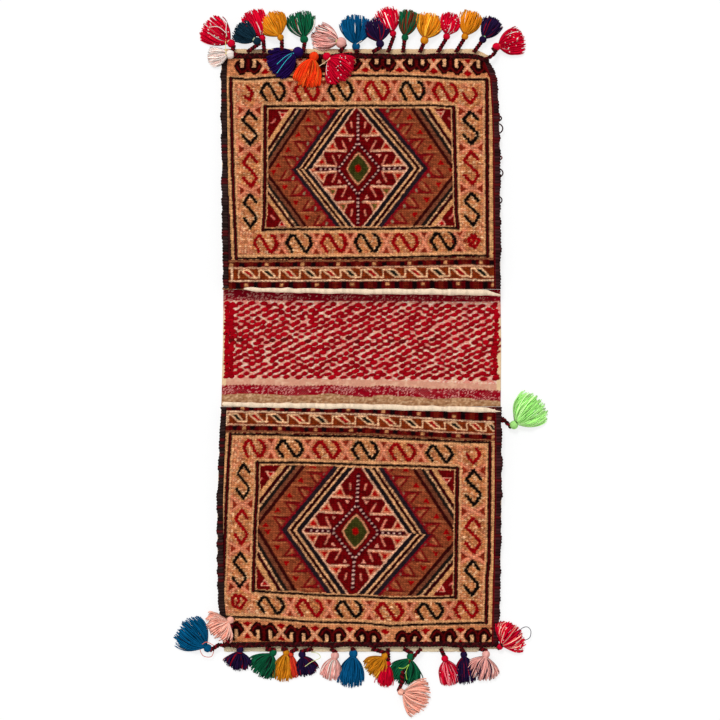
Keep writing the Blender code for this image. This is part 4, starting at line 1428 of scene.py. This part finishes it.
    # stray threads, as (corners on the plan, colour)
    for corners, thread_colour in threads:
        flat = np.array([(across(c), along(r), 0.0) for c, r in corners])
        flat[:, 2] = ground_height(flat) + 0.0012 + 0.0135 * np.exp(-np.arange(len(flat)) * 0.3)
        line = tube(smooth_path(flat, 8 * len(flat))[None], 0.00055, sides=5)
        parts.append(weave(line, ring=True, capped=True, flip=True))
        shades.append(np.tile(thread_colour, (line[..., 0].size, 1)))
    piece = make(node.replace("tassel", "yarn_tassel"), parts, yarn, np.concatenate(shades))
    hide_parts(node)
    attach(piece, f"tassel_{label}_{number}")
    return piece


YARN = {
    "crimson": dye(214, 10, 46), "gold": dye(222, 136, 26), "teal": dye(20, 44, 58),
    "green": dye(18, 96, 62),
    "dusty": dye(238, 172, 162), "pale": dye(255, 242, 234), "cerulean": dye(8, 84, 130),
    "navy": dye(34, 20, 56),
    "orange": dye(255, 66, 24), "lime": dye(178, 242, 138), "salmon": dye(255, 184, 162),
    "dull_gold": dye(206, 130, 26),
}
BLACK_YARN, RED_YARN = dye(24, 18, 26), dye(128, 10, 30)
print("tassel maker ready")

# %% [markdown]
# The upper end has nineteen tassels in a dozen colours. They are listed from left to right, and the last
# four lie flopped over the corner and the face. Threads of another yarn are mixed into many of them.

# %% Tassels of the upper end
tassel("upper_tassel_01_crimson", YARN["crimson"], (231, 43), (205, 23), 40, [(WHITE, 0.02)], CREAM,
       flecks=26,
       threads=[([(226, 33), (218, 27), (209, 27)], WHITE), ([(227, 37), (226, 30), (227, 20)], WHITE)])
tassel("upper_tassel_02_teal", YARN["teal"], (257, 41.5), (236, 27), 42, (), dye(205, 215, 170), lift=0.006)
tassel("upper_tassel_03_crimson", YARN["crimson"], (262, 37.5), (250, 11), 36, [(WHITE, 0.02)], RED_YARN,
       size=3.4, flecks=8)
tassel("upper_tassel_04_gold", YARN["gold"], (280.5, 37.5), (267.5, 13.5), 50, [(dye(245, 190, 60), 0.15)],
       YARN["gold"], size=3.4,
       lift=0.006)
tassel("upper_tassel_05_green", YARN["green"], (304, 39), (299, 11), 46,
       [(BLACK_YARN, 0.18), (WHITE, 0.04), (RED_YARN, 0.03)],
       YARN["green"])
tassel("upper_tassel_06_dusty_pink", YARN["dusty"], (341, 42.5), (313, 33), 40,
       [(BLACK_YARN, 0.16), (WHITE, 0.16)],
       dye(226, 214, 140), size=5.6, strands=230)
tassel("upper_tassel_07_cerulean", YARN["cerulean"], (356, 46), (355, 15), 46, (), YARN["cerulean"])
tassel("upper_tassel_08_navy", YARN["navy"], (380, 44), (375, 18), 50, [(RED_YARN, 0.10)], YARN["navy"],
       lift=0.006,
       threads=[([(362, 41), (357, 44), (353, 47)], WHITE)])
tassel("upper_tassel_09_crimson", YARN["crimson"], (393, 33), (384, 8), 44, [(WHITE, 0.02)], RED_YARN,
       size=3.4, flecks=8)
tassel("upper_tassel_10_green", YARN["green"], (405, 37), (410, 10), 30, [(dye(120, 40, 24), 0.36)],
       YARN["green"], size=3.6)
tassel("upper_tassel_11_gold", YARN["gold"], (424.5, 40), (432, 13), 46, [(dye(245, 190, 60), 0.12)],
       dye(180, 80, 30))
tassel("upper_tassel_12_crimson", YARN["crimson"], (446.7, 36), (453, 13), 42, [(WHITE, 0.02)], RED_YARN,
       size=3.6, flecks=30)
tassel("upper_tassel_13_gold", YARN["gold"], (465, 36), (474, 11), 36, [(WHITE, 0.05)], dye(180, 80, 30),
       size=3.6)
tassel("upper_tassel_14_navy", YARN["navy"], (483, 39), (496, 18), 34, [(RED_YARN, 0.10)],
       dye(150, 200, 150), size=3.8)
tassel("upper_tassel_15_crimson", YARN["crimson"], (496.5, 46.5), (524, 38), 42, [(WHITE, 0.02)],
       dye(230, 60, 60), flecks=26)
tassel("upper_tassel_16_white_pink", YARN["pale"], (230, 54.5), (208, 57), 38, [(dye(252, 216, 204), 0.3)],
       dye(236, 222, 120), size=4.6, threads=[([(226, 52), (225.6, 44), (226, 35)], dye(240, 226, 150))])
tassel("upper_tassel_17_navy", dye(38, 16, 80), (298, 52.4), (270, 68), 44, (), dye(60, 190, 210), size=5.6,
       strands=230,
       threads=[([(292, 54), (285, 58), (277, 65)], dye(60, 190, 210)),
                ([(292, 56), (286, 62), (277, 74)], dye(60, 190, 210))])
tassel("upper_tassel_18_orange", YARN["orange"], (314, 57), (304, 86), 42, [(dye(255, 110, 40), 0.3)],
       YARN["orange"],
       size=4.8, strands=230)
tassel("upper_tassel_19_crimson", YARN["crimson"], (327, 57), (349, 76), 62, [(WHITE, 0.01)], CREAM,
       size=4.2, flecks=30, strands=230,
       threads=[([(330, 60), (324, 64), (319, 67)], CREAM)])
print("upper tassels made")

# %% [markdown]
# The lower end has seventeen, one lies over each corner, and a lime green one hangs from a side seam on its
# own.

# %% Tassels of the lower end and of the side seam
tassel("lower_tassel_01_navy", YARN["navy"], (240, 650), (237, 671), 62, [(RED_YARN, 0.18)], RED_YARN,
       size=3.6)
tassel("lower_tassel_02_green", YARN["green"], (273, 653), (258, 676), 50, [(BLACK_YARN, 0.10)],
       YARN["green"], size=3.8)
tassel("lower_tassel_03_gold", YARN["dull_gold"], (286, 653), (281, 681), 32, [(dye(245, 190, 60), 0.12)],
       YARN["gold"], size=3.4)
tassel("lower_tassel_04_crimson", dye(222, 62, 40), (291, 655), (294, 678), 14, (), RED_YARN, size=2.8,
       strands=80)
tassel("lower_tassel_05_navy", YARN["navy"], (302, 655), (309, 676), 46, [(RED_YARN, 0.16)], YARN["navy"],
       size=3.8,
       threads=[([(305, 666), (312, 661.5), (320, 658), (318, 654), (311, 652.5)], dye(225, 228, 160))])
tassel("lower_tassel_06_dusty_pink", YARN["dusty"], (335, 656), (329, 680), 36, [(WHITE, 0.1)],
       YARN["dusty"], size=4.2)
tassel("lower_tassel_07_cerulean", YARN["cerulean"], (353.4, 654), (350, 687), 32, (), YARN["cerulean"],
       size=4.4)
tassel("lower_tassel_08_gold", YARN["dull_gold"], (385, 656), (372, 676), 58, [(dye(245, 190, 60), 0.12)],
       YARN["gold"], size=3.8)
tassel("lower_tassel_09_crimson", YARN["crimson"], (388, 664), (384, 687), 28, (), RED_YARN, size=3.2,
       strands=110)
tassel("lower_tassel_10_green", YARN["green"], (411, 657), (401, 684), 58, [(BLACK_YARN, 0.10)],
       dye(170, 220, 90), size=4.2,
       threads=[([(409, 664), (404, 668), (398, 668)], dye(170, 220, 90)),
                ([(409, 664), (406, 672), (407, 680)], dye(170, 220, 90))])
tassel("lower_tassel_11_salmon", YARN["salmon"], (401, 692), (428, 702), 66, [(WHITE, 0.06)], BLACK_YARN,
       size=3.6, lift=0.004,
       cord=[(404, 668), (402, 682)])
tassel("lower_tassel_12_crimson", YARN["crimson"], (445, 659), (452, 685), 34, [(dye(240, 130, 140), 0.14)],
       RED_YARN, size=3.6, flecks=10)
tassel("lower_tassel_13_navy", YARN["navy"], (464, 655), (466, 684), 32, [(RED_YARN, 0.14)], YARN["navy"],
       size=3.6)
tassel("lower_tassel_14_dusty_pink", YARN["dusty"], (486, 654), (479, 680), 66,
       [(YARN["navy"], 0.16), (WHITE, 0.1)],
       YARN["dusty"], size=4.0, lift=0.006)
tassel("lower_tassel_15_salmon", YARN["salmon"], (231, 619), (211, 634), 74, [(dye(255, 206, 188), 0.25)],
       YARN["salmon"], size=3.6, strands=220,
       lift=0.007)
tassel("lower_tassel_16_teal", dye(6, 84, 126), (207.5, 648.5), (181, 626), 48, [(BLACK_YARN, 0.08)],
       dye(6, 84, 126), size=4.2,
       threads=[([(214, 645), (206, 642), (200, 648), (203, 656), (211, 657), (214, 650)],
                 dye(226, 110, 90))])
tassel("lower_tassel_17_crimson", YARN["crimson"], (500, 647), (519, 630), 78,
       [(YARN["salmon"], 0.16), (WHITE, 0.04)],
       RED_YARN, size=3.4, strands=320, flecks=24,
       threads=[([(516, 637), (521, 629), (527, 627), (531, 631), (530, 638), (525, 641)], YARN["navy"])])
tassel("lower_tassel_18_lime", YARN["lime"], (514, 425), (541, 401), 46, [(dye(204, 252, 166), 0.25)],
       BLACK_YARN, size=4.4,
       strands=230, fat=1.2, cord=[(503, 419)])
print("lower tassels made")

# %% [markdown]

print("all pieces made")
